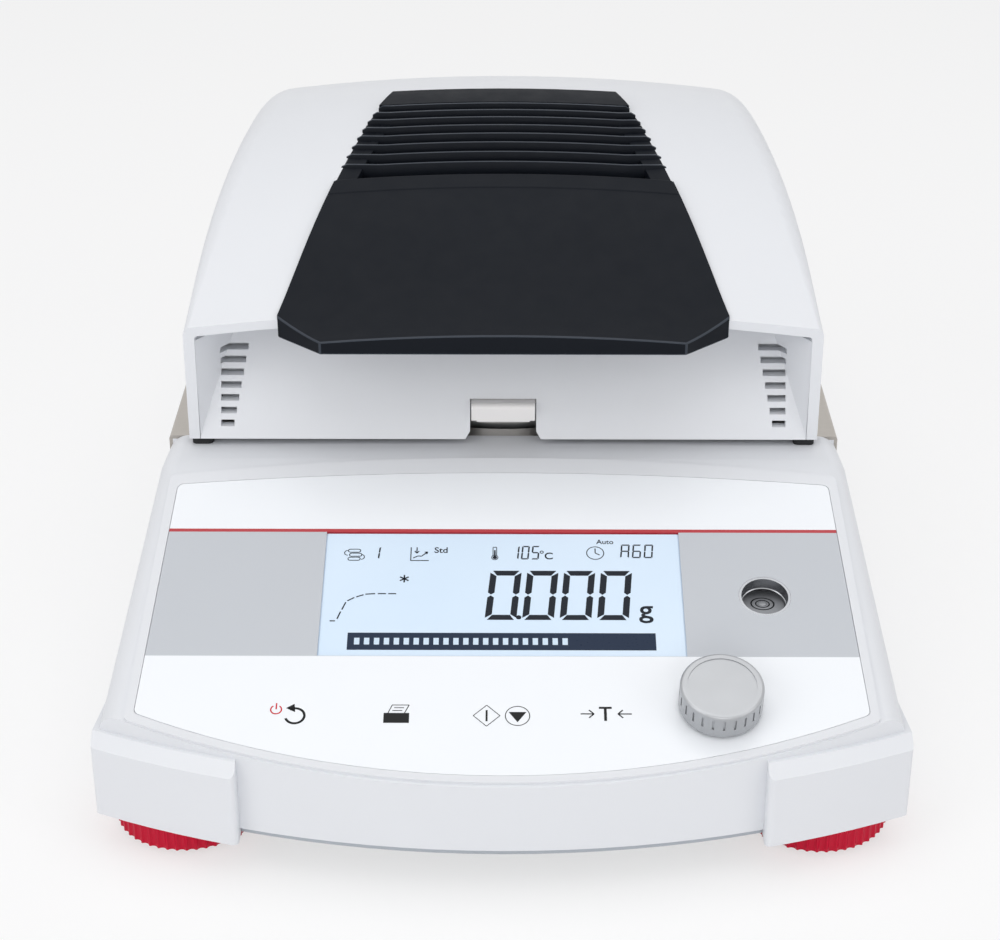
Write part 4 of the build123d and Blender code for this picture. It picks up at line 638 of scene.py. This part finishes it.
def display_picture():
    bm = bmesh.new()
    for column in range(4):
        numeral(bm, "0", -4.7 + 9.92 * column, 54.4, *BIG_FIGURE)
    disc(bm, 4.35, 55.3, 0.72)
    lettering(bm, "g", 36.3, 55.4, 8.6)
    for column, figure in enumerate("105"):
        numeral(bm, figure, 2.2 + 2.75 * column, 76.2, *WARMTH_FIGURE)
    hoop(bm, 10.65, 78.9, 0.55, 0.3)
    lettering(bm, "C", 11.3, 76.3, 3.5)
    for column, figure in enumerate("A60"):
        numeral(bm, figure, 31.9 + 3.2 * column, 76.8, *TIME_FIGURE)
    numeral(bm, "1", -35.6, 76.2, *STORE_FIGURE)
    lettering(bm, "Std", -18.6, 78.6, 2.9)
    lettering(bm, "Auto", 25.6, 82.0, 2.3)
    hoop(bm, 25.2, 78.6, 2.45, 2.2)
    line(bm, (25.2, 78.6), (25.2, 80.3), 0.3)
    line(bm, (25.2, 78.6), (26.4, 77.9), 0.3)
    line(bm, (-24.9, 75.6), (-24.9, 80.6), 0.28)
    line(bm, (-24.9, 75.7), (-20.0, 75.7), 0.28)
    curve = ((-24.3, 76.6), (-23.0, 77.4), (-22.0, 77.3), (-20.4, 78.9))
    for start, end in zip(curve, curve[1:]):
        line(bm, start, end, 0.3)
    line(bm, (-20.4, 78.9), (-21.2, 78.8), 0.3)
    line(bm, (-20.4, 78.9), (-20.6, 78.1), 0.3)
    line(bm, (-23.3, 80.6), (-23.3, 78.4), 0.28)
    line(bm, (-23.3, 78.4), (-23.9, 79.2), 0.28)
    line(bm, (-23.3, 78.4), (-22.7, 79.2), 0.28)
    hoop(bm, -2.1, 76.9, 0.95, 0.75)
    disc(bm, -2.1, 76.9, 0.6)
    line(bm, (-2.1, 77.2), (-2.1, 79.6), 0.45)
    line(bm, (-2.6, 77.7), (-2.6, 80.6), 0.2)
    line(bm, (-1.6, 77.7), (-1.6, 80.6), 0.2)
    line(bm, (-2.6, 80.7), (-1.6, 80.7), 0.25)
    for row, shift in enumerate((0.0, 0.9, 0.0)):
        for side in (-1, 1):
            height = 76.3 + row * 1.5
            edge = height + 0.56 * side
            hoop(bm, -40.3 + side * 1.1 + shift * 0.4, height, 0.68, 0.44, -90 * side, 180)
            line(bm, (-41.4 + shift * 0.4, edge), (-39.2 + shift * 0.4, edge), 0.24)
    hoop(bm, -42.1, 78.5, 1.0, 0.76, 90, 180)
    hoop(bm, -38.4, 77.0, 1.0, 0.76, -90, 180)
    for spoke in range(3):
        turn = math.radians(90 + 60 * spoke)
        across, up = 1.35 * math.cos(turn), 1.35 * math.sin(turn)
        line(bm, (-26.4 - across, 69.0 - up), (-26.4 + across, 69.0 + up), 0.42)
    runs = (
        ((-45.6, 53.9), (-44.2, 53.9)),
        ((-43.7, 54.6), (-42.9, 57.2)),
        ((-42.6, 57.9), (-41.7, 60.5)),
        ((-41.3, 61.0), (-39.5, 62.2)),
        ((-39.0, 62.4), (-37.1, 63.2)),
        ((-36.6, 63.4), (-34.0, 63.6)),
        ((-33.3, 63.6), (-31.1, 63.6)),
        ((-30.5, 63.6), (-28.4, 63.6)),
    )
    for start, end in runs:
        line(bm, start, end, 0.36)
    lay_ink("display_figures", bm, SEGMENT_INK, GLASS_TOP + INK_LIFT)

    bm = bmesh.new()
    bar(bm, -40.6, 43.9, 40.3, 49.8)
    lay_ink("display_message_bar", bm, BAR_INK, GLASS_TOP + INK_LIFT)
    bm = bmesh.new()
    for tick in range(22):
        bar(bm, -38.8 + 2.6 * tick, 45.7, -37.4 + 2.6 * tick, 48.0)
    lay_ink("display_bar_marks", bm, PALE_INK, GLASS_TOP + 2 * INK_LIFT)


# Key icons


def key_icons():
    bm = bmesh.new()
    hoop(bm, -57.4, 23.5, 1.55, 1.2, 125, 290)
    line(bm, (-57.4, 23.6), (-57.4, 25.6), 0.36)
    lay_ink("icon_power", bm, RED_INK, FILM_TOP + INK_LIFT)

    bm = bmesh.new()
    hoop(bm, -52.5, 21.5, 2.75, 2.1, -160, 285)
    patch(bm, (-54.9, 24.0), (-52.8, 25.4), (-52.5, 22.7))
    lay_ink("icon_return", bm, BLACK_INK_AND_RECESS_SHADE, FILM_TOP + INK_LIFT)

    bm = bmesh.new()
    bar(bm, -30.0, 19.3, -23.5, 22.5)
    for start, end in (
        ((-28.9, 22.5), (-27.9, 25.1)),
        ((-27.9, 25.1), (-23.6, 25.1)),
        ((-23.6, 25.1), (-24.7, 22.5)),
        ((-27.4, 24.2), (-24.9, 24.2)),
        ((-27.8, 23.3), (-25.3, 23.3)),
    ):
        line(bm, start, end, 0.22)
    lay_ink("icon_printer", bm, BLACK_INK_AND_RECESS_SHADE, FILM_TOP + INK_LIFT)

    bm = bmesh.new()
    tips = ((-7.25, 21.7), (-3.85, 25.1), (-0.45, 21.7), (-3.85, 18.3))
    for start, end in zip(tips, tips[1:] + tips[:1]):
        line(bm, start, end, 0.2)
    bar(bm, -4.1, 19.9, -3.6, 23.5)
    hoop(bm, 4.0, 21.65, 3.2, 2.98)
    patch(bm, (1.75, 22.9), (6.25, 22.9), (4.0, 19.6))
    lay_ink("icon_start_stop", bm, BLACK_INK_AND_RECESS_SHADE, FILM_TOP + INK_LIFT)

    bm = bmesh.new()
    bar(bm, 24.7, 24.0, 27.95, 24.65)
    bar(bm, 25.95, 20.1, 26.65, 24.0)
    for tail, tip, back in ((20.0, 23.4, -1), (33.0, 29.5, 1)):
        line(bm, (tail, 22.35), (tip, 22.35), 0.34)
        line(bm, (tip, 22.35), (tip + back * 1.25, 23.6), 0.34)
        line(bm, (tip, 22.35), (tip + back * 1.25, 21.1), 0.34)
    lay_ink("icon_tare", bm, BLACK_INK_AND_RECESS_SHADE, FILM_TOP + INK_LIFT)


# Spirit level: dark rings on the vial and a bubble on its window

RING_LIFT = 0.00003
BUBBLE_LIFT = 0.0001
SLEEVE_MOUTH = (0.070, 0.0626, -0.0035)
SLEEVE_MOUTH_RADIUS = 0.00622
VIAL_RIM_RADIUS = 0.00775
VIAL_RIM_DROP = 0.0002


def level_marks():
    low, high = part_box("level_vial")
    centre = (low + high) / 2
    bm = bmesh.new()
    hoop(bm, 0, 0, 3.25, 2.85)
    hoop(bm, 0, 0, 2.0, 1.65)
    thicken(bm, -INK)
    bmesh.ops.transform(
        bm,
        matrix=Matrix.Translation((centre.x, centre.y, high.z + RING_LIFT)) @ Matrix.Scale(MM, 4),
        verts=bm.verts,
    )
    fit("level_rings", bm, BLACK_INK_AND_RECESS_SHADE, "base", 20.0)
    bm = bmesh.new()
    bmesh.ops.create_uvsphere(bm, u_segments=24, v_segments=12, radius=1.2)
    bmesh.ops.scale(bm, vec=(1, 1, 0.25), verts=bm.verts)
    bmesh.ops.transform(
        bm,
        matrix=Matrix.Translation((centre.x, centre.y, high.z + BUBBLE_LIFT)) @ Matrix.Scale(MM, 4),
        verts=bm.verts,
    )
    fit("level_bubble", bm, VIAL_GLASS, "base", 60.0)


def level_well():
    """Polished funnel from the sleeve down to the rim of the vial."""
    low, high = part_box("level_vial")
    centre = (low + high) / 2
    bm = bmesh.new()
    upper = bmesh.ops.create_circle(bm, segments=64, radius=SLEEVE_MOUTH_RADIUS)["verts"]
    mouth = PANEL @ Matrix.Translation(SLEEVE_MOUTH)
    bmesh.ops.transform(bm, matrix=mouth, verts=upper)
    lower = bmesh.ops.create_circle(bm, segments=64, radius=VIAL_RIM_RADIUS)["verts"]
    bmesh.ops.translate(bm, vec=(centre.x, centre.y, high.z - VIAL_RIM_DROP), verts=lower)
    bmesh.ops.bridge_loops(bm, edges=bm.edges[:])
    bmesh.ops.recalc_face_normals(bm, faces=bm.faces)
    thicken(bm, 0.0003)
    fit("level_well", bm, CHROME, "base", 30.0)


# Louvre of the top cover: leaning fins across its whole width

CROWN_RADIUS = 0.600
FIN_COUNT = 8
FIN_FIRST_Y = 0.0033
FIN_LAST_Y = 0.0332
FIN_BREAK = 0.0362
FIN_DROP = 0.0048
BED_DEPTH = 0.0016
BED_FRONT_Y = -0.0010
BED_REAR_Y = 0.0346
RAIL = 0.0052
COVER_PROUD = 0.0017
LID_FRONT_Y = -0.0445
LIP_BACK_Y = -0.0435
COVER_CREASE = 28.0
# Half widths of the cover and of the opening under it: where each bends, and how far it narrows
COVER_NECK_Y, COVER_NECK_HALF = 0.031, 0.0393
COVER_TAIL_LENGTH, COVER_TAIL_TAPER = 0.0135, 0.0051
COVER_FRONT_HALF, COVER_LENGTH, COVER_TAPER = 0.0633, 0.0755, 0.0240
OPENING_NECK_Y, OPENING_NECK_HALF = 0.026, 0.0343
OPENING_FRONT_Y, OPENING_FRONT_HALF = -0.018, 0.0499
OPENING_LENGTH, OPENING_TAPER = 0.044, 0.0156
# Cutters reach well past the cover
CLEAR_OF_COVER = 0.02
DEEP_BED_START = 0.0088
DEEP_BED_REAR_Y = 0.0302
DEEP_BED_DEPTH = 0.012
PLATE_EDGE_FRONT_Y = -0.0062
PLATE_EDGE_INSET = 0.0004
PLATE_EDGE_LIFT = 0.00006
LOUVRE_BREAK = 0.0003
FIN_THICK = 0.0011
FIN_LEAN = 0.0003
FIN_SWEEP = 0.22
FIN_TIP = 0.0014
FIN_TIP_DROP = 0.0008
LINER_FRONT_Y = -0.0060
LINER_LENGTH = 0.0408


hood = merged("lid_shell")
HOOD = BVHTree.FromBMesh(hood)
hood.free()


def cover_half(y):
    """Half width of the cover at a place along the lid."""
    if y > COVER_NECK_Y:
        return COVER_NECK_HALF - (y - COVER_NECK_Y) / COVER_TAIL_LENGTH * COVER_TAIL_TAPER
    return COVER_FRONT_HALF - (y - LID_FRONT_Y) / COVER_LENGTH * COVER_TAPER


def opening_half(y):
    """Half width of the opening in the hood under the fins."""
    if y > OPENING_NECK_Y:
        return OPENING_NECK_HALF - (y - OPENING_NECK_Y) / COVER_TAIL_LENGTH * COVER_TAIL_TAPER
    return OPENING_FRONT_HALF - (y - OPENING_FRONT_Y) / OPENING_LENGTH * OPENING_TAPER


def crown_fall(x):
    """How far the crown falls from its centre line to a place beside it."""
    return CROWN_RADIUS - math.sqrt(CROWN_RADIUS**2 - x * x)


def crown_height(y):
    """Height of the cover's crown on its centre line, from the hood beside it."""
    beside = cover_half(y) + 0.003
    place = HOOD.ray_cast(Vector((beside, y, 0.3)), Vector((0, 0, -1)))[0]
    return place.z + COVER_PROUD + crown_fall(beside)


def crowned_block(front_y, rear_y, beyond, foot, top):
    """A block that follows the crown, from foot to top above it, and reaches beyond the cover's edge."""
    bm = bmesh.new()
    bmesh.ops.create_grid(bm, x_segments=32, y_segments=12, size=0.5)
    for vert in bm.verts:
        y = front_y + (vert.co.y + 0.5) * (rear_y - front_y)
        x = vert.co.x * 2 * (cover_half(y) + beyond)
        vert.co = (x, y, crown_height(y) - crown_fall(x) + foot)
    pull_out(bm, (0, 0, top - foot))
    return bm


def cover_with_bed():
    """Stands for the top cover, with a shallow bed cut across it for the fins."""
    bm = merged("top_cover")
    lip = [e for e in sharp_edges(bm, 20) if max(v.co.y for v in e.verts) < LIP_BACK_Y]
    # painted highlight: the lip's rounded edge takes the lighter black
    for face in break_edges(bm, lip, 0.0004):
        face.material_index = 1
    made = fit("top_cover_finished", bm, BLACK_COVER, "lid", COVER_CREASE)
    made.data.materials.append(BLACK_PAINTED_HIGHLIGHT)
    blocks = (
        crowned_block(BED_FRONT_Y, BED_REAR_Y, CLEAR_OF_COVER, -BED_DEPTH, CLEAR_OF_COVER),
        crowned_block(FIN_FIRST_Y - DEEP_BED_START, DEEP_BED_REAR_Y, -RAIL, -DEEP_BED_DEPTH, CLEAR_OF_COVER),
    )
    tools = []
    for block in blocks:
        tool_mesh = bpy.data.meshes.new("bed_cutter")
        block.to_mesh(tool_mesh)
        block.free()
        tool = bpy.data.objects.new("bed_cutter", tool_mesh)
        bpy.context.scene.collection.objects.link(tool)
        cut = made.modifiers.new("fin_bed", "BOOLEAN")
        cut.object = tool
        cut.operation = "DIFFERENCE"
        cut.solver = "EXACT"
        tools.append(tool)
    bpy.context.view_layer.update()
    shaped = bpy.data.meshes.new_from_object(made.evaluated_get(bpy.context.evaluated_depsgraph_get()))
    made.modifiers.clear()
    for tool in tools:
        bpy.data.objects.remove(tool)
    bm = bmesh.new()
    bm.from_mesh(shaped)
    soften(bm, COVER_CREASE)
    bm.to_mesh(made.data)
    bm.free()
    shade_evenly(made)
    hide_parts("top_cover")


def plate_edge():
    """Rear edge of the front plate, between it and the first fin."""
    bm = crowned_block(PLATE_EDGE_FRONT_Y, BED_FRONT_Y, -PLATE_EDGE_INSET, -BED_DEPTH, PLATE_EDGE_LIFT)
    break_edges(bm, sharp_edges(bm, 60), LOUVRE_BREAK)
    fit("louvre_plate_edge", bm, BLACK_COVER, "lid", 40.0)


def louvre_liner():
    """Black side walls under the fins, down the edges of the opening in the hood."""
    for name, side in SIDES:
        bm = bmesh.new()
        bmesh.ops.create_grid(bm, x_segments=2, y_segments=12, size=0.5)
        for vert in bm.verts:
            y = LINER_FRONT_Y + (vert.co.y + 0.5) * LINER_LENGTH
            inner, outer = vert.co.x < -0.1, vert.co.x > 0.1
            x = cover_half(y) - RAIL + 0.0010 if outer else opening_half(y) - 0.0003
            drop = 0.0075 if inner else 0.00152
            vert.co = (side * x, y, crown_height(y) - crown_fall(x) - drop)
        bmesh.ops.recalc_face_normals(bm, faces=bm.faces)
        thicken(bm, 0.0001)
        fit("louvre_liner_" + name, bm, BLACK_COVER, "lid", 40.0)


def louvre_fins():
    """The fins, each crowned like the cover, swept back and dropping at its ends."""
    for number in range(FIN_COUNT):
        y = FIN_FIRST_Y + number * (FIN_LAST_Y - FIN_FIRST_Y) / (FIN_COUNT - 1)
        half = cover_half(y + 0.002) + 0.0004
        break_x = FIN_BREAK - 0.0018 * number / (FIN_COUNT - 1)
        crown = crown_height(y)
        bm = bmesh.new()
        bmesh.ops.create_grid(bm, x_segments=60, y_segments=1, size=0.5)
        for vert in bm.verts:
            x = vert.co.x * 2 * half
            rise = vert.co.y > 0
            sweep = max(0.0, abs(x) - break_x) * FIN_SWEEP
            near_end = max(0.0, abs(x) - half + FIN_TIP) / FIN_TIP
            top = crown - crown_fall(x) + 0.0003 - FIN_TIP_DROP * near_end**2
            foot = top - (FIN_DROP if abs(x) < half - RAIL - 0.001 else BED_DEPTH + 0.0009)
            vert.co = (x, y + sweep + (FIN_LEAN if rise else 0.0), top if rise else foot)
        pull_out(bm, (0, FIN_THICK, 0))
        break_edges(bm, sharp_edges(bm, 60), LOUVRE_BREAK)
        made = fit("louvre_fin_%d" % (number + 1), bm, BLACK_COVER, "lid", 40.0)
        made.data.materials.append(BLACK_PAINTED_HIGHLIGHT)
        # painted highlight: faces turned upwards take the lighter black, the rest keep the cover's own black
        for face in made.data.polygons:
            face.material_index = 1 if face.normal.z > 0.5 else 0


BAFFLE = (0.0135, 0.026, 0.0008)
BAFFLE_MIDDLE_X = 0.0745
BAFFLE_MIDDLE_Z = 0.0838
BAFFLE_SET_BACK = 0.0060
LID_BOTTOM_Z = 0.0692
FACE_LEAN = math.radians(27.0)


def vent_backing():
    """White baffles a little way behind the vent slots."""
    for name, side in SIDES:
        bm = bmesh.new()
        bmesh.ops.create_grid(bm, x_segments=1, y_segments=1, size=0.5)
        bmesh.ops.scale(bm, vec=(BAFFLE[0], BAFFLE[1], 1), verts=bm.verts)
        thicken(bm, BAFFLE[2])
        break_edges(bm, [e for e in bm.edges if e.calc_length() < 0.001], 0.001, 3)
        stand = Matrix.Rotation(math.pi / 2 - FACE_LEAN, 4, "X")
        behind = LID_FRONT_Y + (BAFFLE_MIDDLE_Z - LID_BOTTOM_Z) * math.tan(FACE_LEAN) + BAFFLE_SET_BACK
        place = Matrix.Translation((side * BAFFLE_MIDDLE_X, behind, BAFFLE_MIDDLE_Z)) @ stand
        bmesh.ops.transform(bm, matrix=place, verts=bm.verts)
        fit("vent_baffle_" + name, bm, WHITE_SHELL, "lid", 35.0)


LAMP_CENTRE = (0, 0.024, 0.101)
LAMP_RING_RADIUS = 0.034
COIL_RADIUS = 0.0009
COIL_START = math.radians(-68)
COIL_SWEEP = math.radians(316)


def lamp_filament():
    """Heating wire along the inside of the ring lamp, seen through its tube."""
    bm = bmesh.new()
    ring = bmesh.ops.create_circle(bm, segments=6, radius=COIL_RADIUS)["verts"]
    upright = Matrix.Translation((LAMP_RING_RADIUS, 0, 0)) @ Matrix.Rotation(math.pi / 2, 4, "X")
    bmesh.ops.transform(bm, matrix=upright, verts=ring)
    bmesh.ops.rotate(bm, cent=(0, 0, 0), matrix=Matrix.Rotation(COIL_START, 3, "Z"), verts=ring)
    wire = bm.edges[:] + bm.verts[:]
    bmesh.ops.spin(bm, geom=wire, cent=(0, 0, 0), axis=(0, 0, 1), angle=COIL_SWEEP, steps=96)
    bmesh.ops.remove_doubles(bm, verts=bm.verts, dist=0.000001)
    bmesh.ops.holes_fill(bm, edges=bm.edges, sides=6)
    bmesh.ops.recalc_face_normals(bm, faces=bm.faces)
    bmesh.ops.translate(bm, vec=LAMP_CENTRE, verts=bm.verts)
    fit("lamp_filament", bm, FILAMENT, "lid", 60.0)


# Screws: the cross recess is not cut but drawn as painted shade, flat black bars on the head; its size is
# given as shares of the head's radius

PAINTED_SLOT_REACH = 0.55
PAINTED_SLOT_HALF = 0.13


def screw(bm, radius, rise):
    """Round-headed screw with a plain head, standing on z 0 with its head upwards; its cross recess is only
    painted shade, laid on by screws().
    """
    made = bmesh.ops.create_circle(bm, cap_ends=True, segments=32, radius=radius)["verts"]
    head = bmesh.ops.extrude_face_region(bm, geom=list({f for v in made for f in v.link_faces}))
    top = [g for g in head["geom"] if isinstance(g, bmesh.types.BMVert)]
    bmesh.ops.translate(bm, vec=(0, 0, rise), verts=top)
    rim = [e for e in bm.edges if all(abs(v.co.z - rise) < 1e-6 for v in e.verts)]
    break_edges(bm, rim, rise * 0.6, 3)
    bmesh.ops.recalc_face_normals(bm, faces=bm.faces)


def screws(name, radius, rise, places, body):
    """A set of screws, each placed by a matrix, with its cross recess drawn as painted shade: flat black bars
    on the head.
    """
    bm = bmesh.new()
    # painted shade: the black bars standing for the cross recesses of all the screws are gathered here
    cross = bmesh.new()
    for place in places:
        one = bmesh.new()
        screw(one, radius, rise)
        bmesh.ops.transform(one, matrix=place @ Matrix.Scale(MM, 4), verts=one.verts)
        pour(one, bm)
        # painted shade: two flat black bars on the head stand for the shadowed cross recess
        painted_slot_shade = bmesh.new()
        reach, half = radius * PAINTED_SLOT_REACH, radius * PAINTED_SLOT_HALF
        for angle in (0, 90):
            made = bar(painted_slot_shade, -reach, -half, reach, half)
            turn = Matrix.Rotation(math.radians(angle), 3, "Z")
            bmesh.ops.rotate(painted_slot_shade, cent=(0, 0, 0), matrix=turn, verts=made)
        thicken(painted_slot_shade, -INK)
        bmesh.ops.transform(
            painted_slot_shade,
            matrix=place @ Matrix.Scale(MM, 4) @ Matrix.Translation((0, 0, rise + 0.005)),
            verts=painted_slot_shade.verts,
        )
        pour(painted_slot_shade, cross)
    fit(name, bm, PART_STEEL, body, 40.0)
    # painted shade of the cross recesses, in the black of the printed ink
    fit(name + "_painted_recess_shade", cross, BLACK_INK_AND_RECESS_SHADE, body, 20.0)


def all_screws():
    """Screws of the tray and the heater frame, heads down, and of the back panel, heads to the rear."""
    down = Matrix.Rotation(math.pi, 4, "X")
    tray = [
        Matrix.Translation((x * MM, y * MM, 0.0103)) @ down
        for x, y in ((-86, -88), (86, -88), (-88, 20), (88, 20), (-60, 150), (60, 150), (0, -120))
    ]
    screws("tray_screws", 3.4, 1.3, tray, "base")
    heater = [Matrix.Translation((x * MM, y * MM, 0.086)) @ down for x in (-66, 66) for y in (-16, 84)]
    screws("heater_frame_screws", 3.0, 1.2, heater, "lid")
    back = Matrix.Rotation(-math.pi / 2, 4, "X")
    panel = [Matrix.Translation((x * MM, 0.1629, z * MM)) @ back for x in (-67.5, 67.5) for z in (20.0, 46.0)]
    screws("back_panel_screws", 2.4, 0.12, panel, "base")


# Nodes and their finishes

set_camera()
set_studio()

surface("upper_housing", WHITE_SHELL, "base", 32.0)
surface("lid_shell", WHITE_SHELL, "lid", 38.0)
surface("lid_front_panel", WHITE_SHELL, "lid", 30.0)
surface("pan_handler", WHITE_GRIP, "base", 30.0)
surface("control_knob", KNOB_PAINT, "knob", 30.0)
surface("panel_overlay", FILM, "base", 30.0)
surface("lcd_module", DISPLAY, "base", 30.0)
surface("steel_deck", DECK_STEEL, "base", 30.0)
surface("draft_shield", PART_STEEL, "base", 30.0)
surface("sample_pan", ALUMINIUM, "weighing", 30.0)
surface("pan_support", ALUMINIUM, "weighing", 30.0)
surface("reflector", MIRROR, "lid", 30.0)
surface("glass_retainer", PART_STEEL, "lid", 30.0)
surface("heater_lamp", QUARTZ, "lid", 40.0)
surface("level_sleeve", CHROME, "base", 30.0)
surface("level_vial", VIAL_GLASS, "base", 30.0)
for side, _ in SIDES:
    surface("foot_wheel_" + side, RED_FOOT, "foot_wheel_" + side, 40.0)
    surface("foot_sole_" + side, BLACK_RUBBER, "foot_sole_" + side, 30.0)
    surface("rear_foot_" + side, BLACK_RUBBER, "base", 30.0)
    surface("hinge_arm_" + side, PART_STEEL, "lid", 30.0)
    surface("hinge_bracket_" + side, PART_STEEL, "base", 30.0)

dress(TRAY_PLASTIC, "base_tray")
dress(GREY_PANEL, "back_panel")
dress(DARK_PLASTIC, "mains_inlet", "fuse_drawer", "serial_socket", "temperature_sensor", "key_switches")
dress(DARK_PLASTIC, "encoder_body", "lcd_spacer", "level_holder")
dress(SOCKET_METAL, "usb_socket")
dress(BOARD_GREEN, "display_board", "main_board", "power_board")
dress(POST_PLASTIC, "board_posts", "frame_posts")
dress(KEY_PLASTIC, "key_power", "key_print", "key_start_stop", "key_tare")
dress(PART_STEEL, "heat_shield", "lid_inner_frame", "hinge_pins", "hinge_washers")
dress(ALUMINIUM, "encoder_shaft", "encoder_carrier", "load_cell", "load_cone")
dress(CERAMIC, "lamp_holder")
dress(WINDOW_GLASS, "protective_glass")
dress(BLACK_RUBBER, "lid_bumpers")
dress(BRASS, "foot_bushes")

cover_with_bed()
plate_edge()
louvre_liner()
louvre_fins()
vent_backing()
lamp_filament()
display_picture()
key_icons()
level_well()
level_marks()
all_screws()
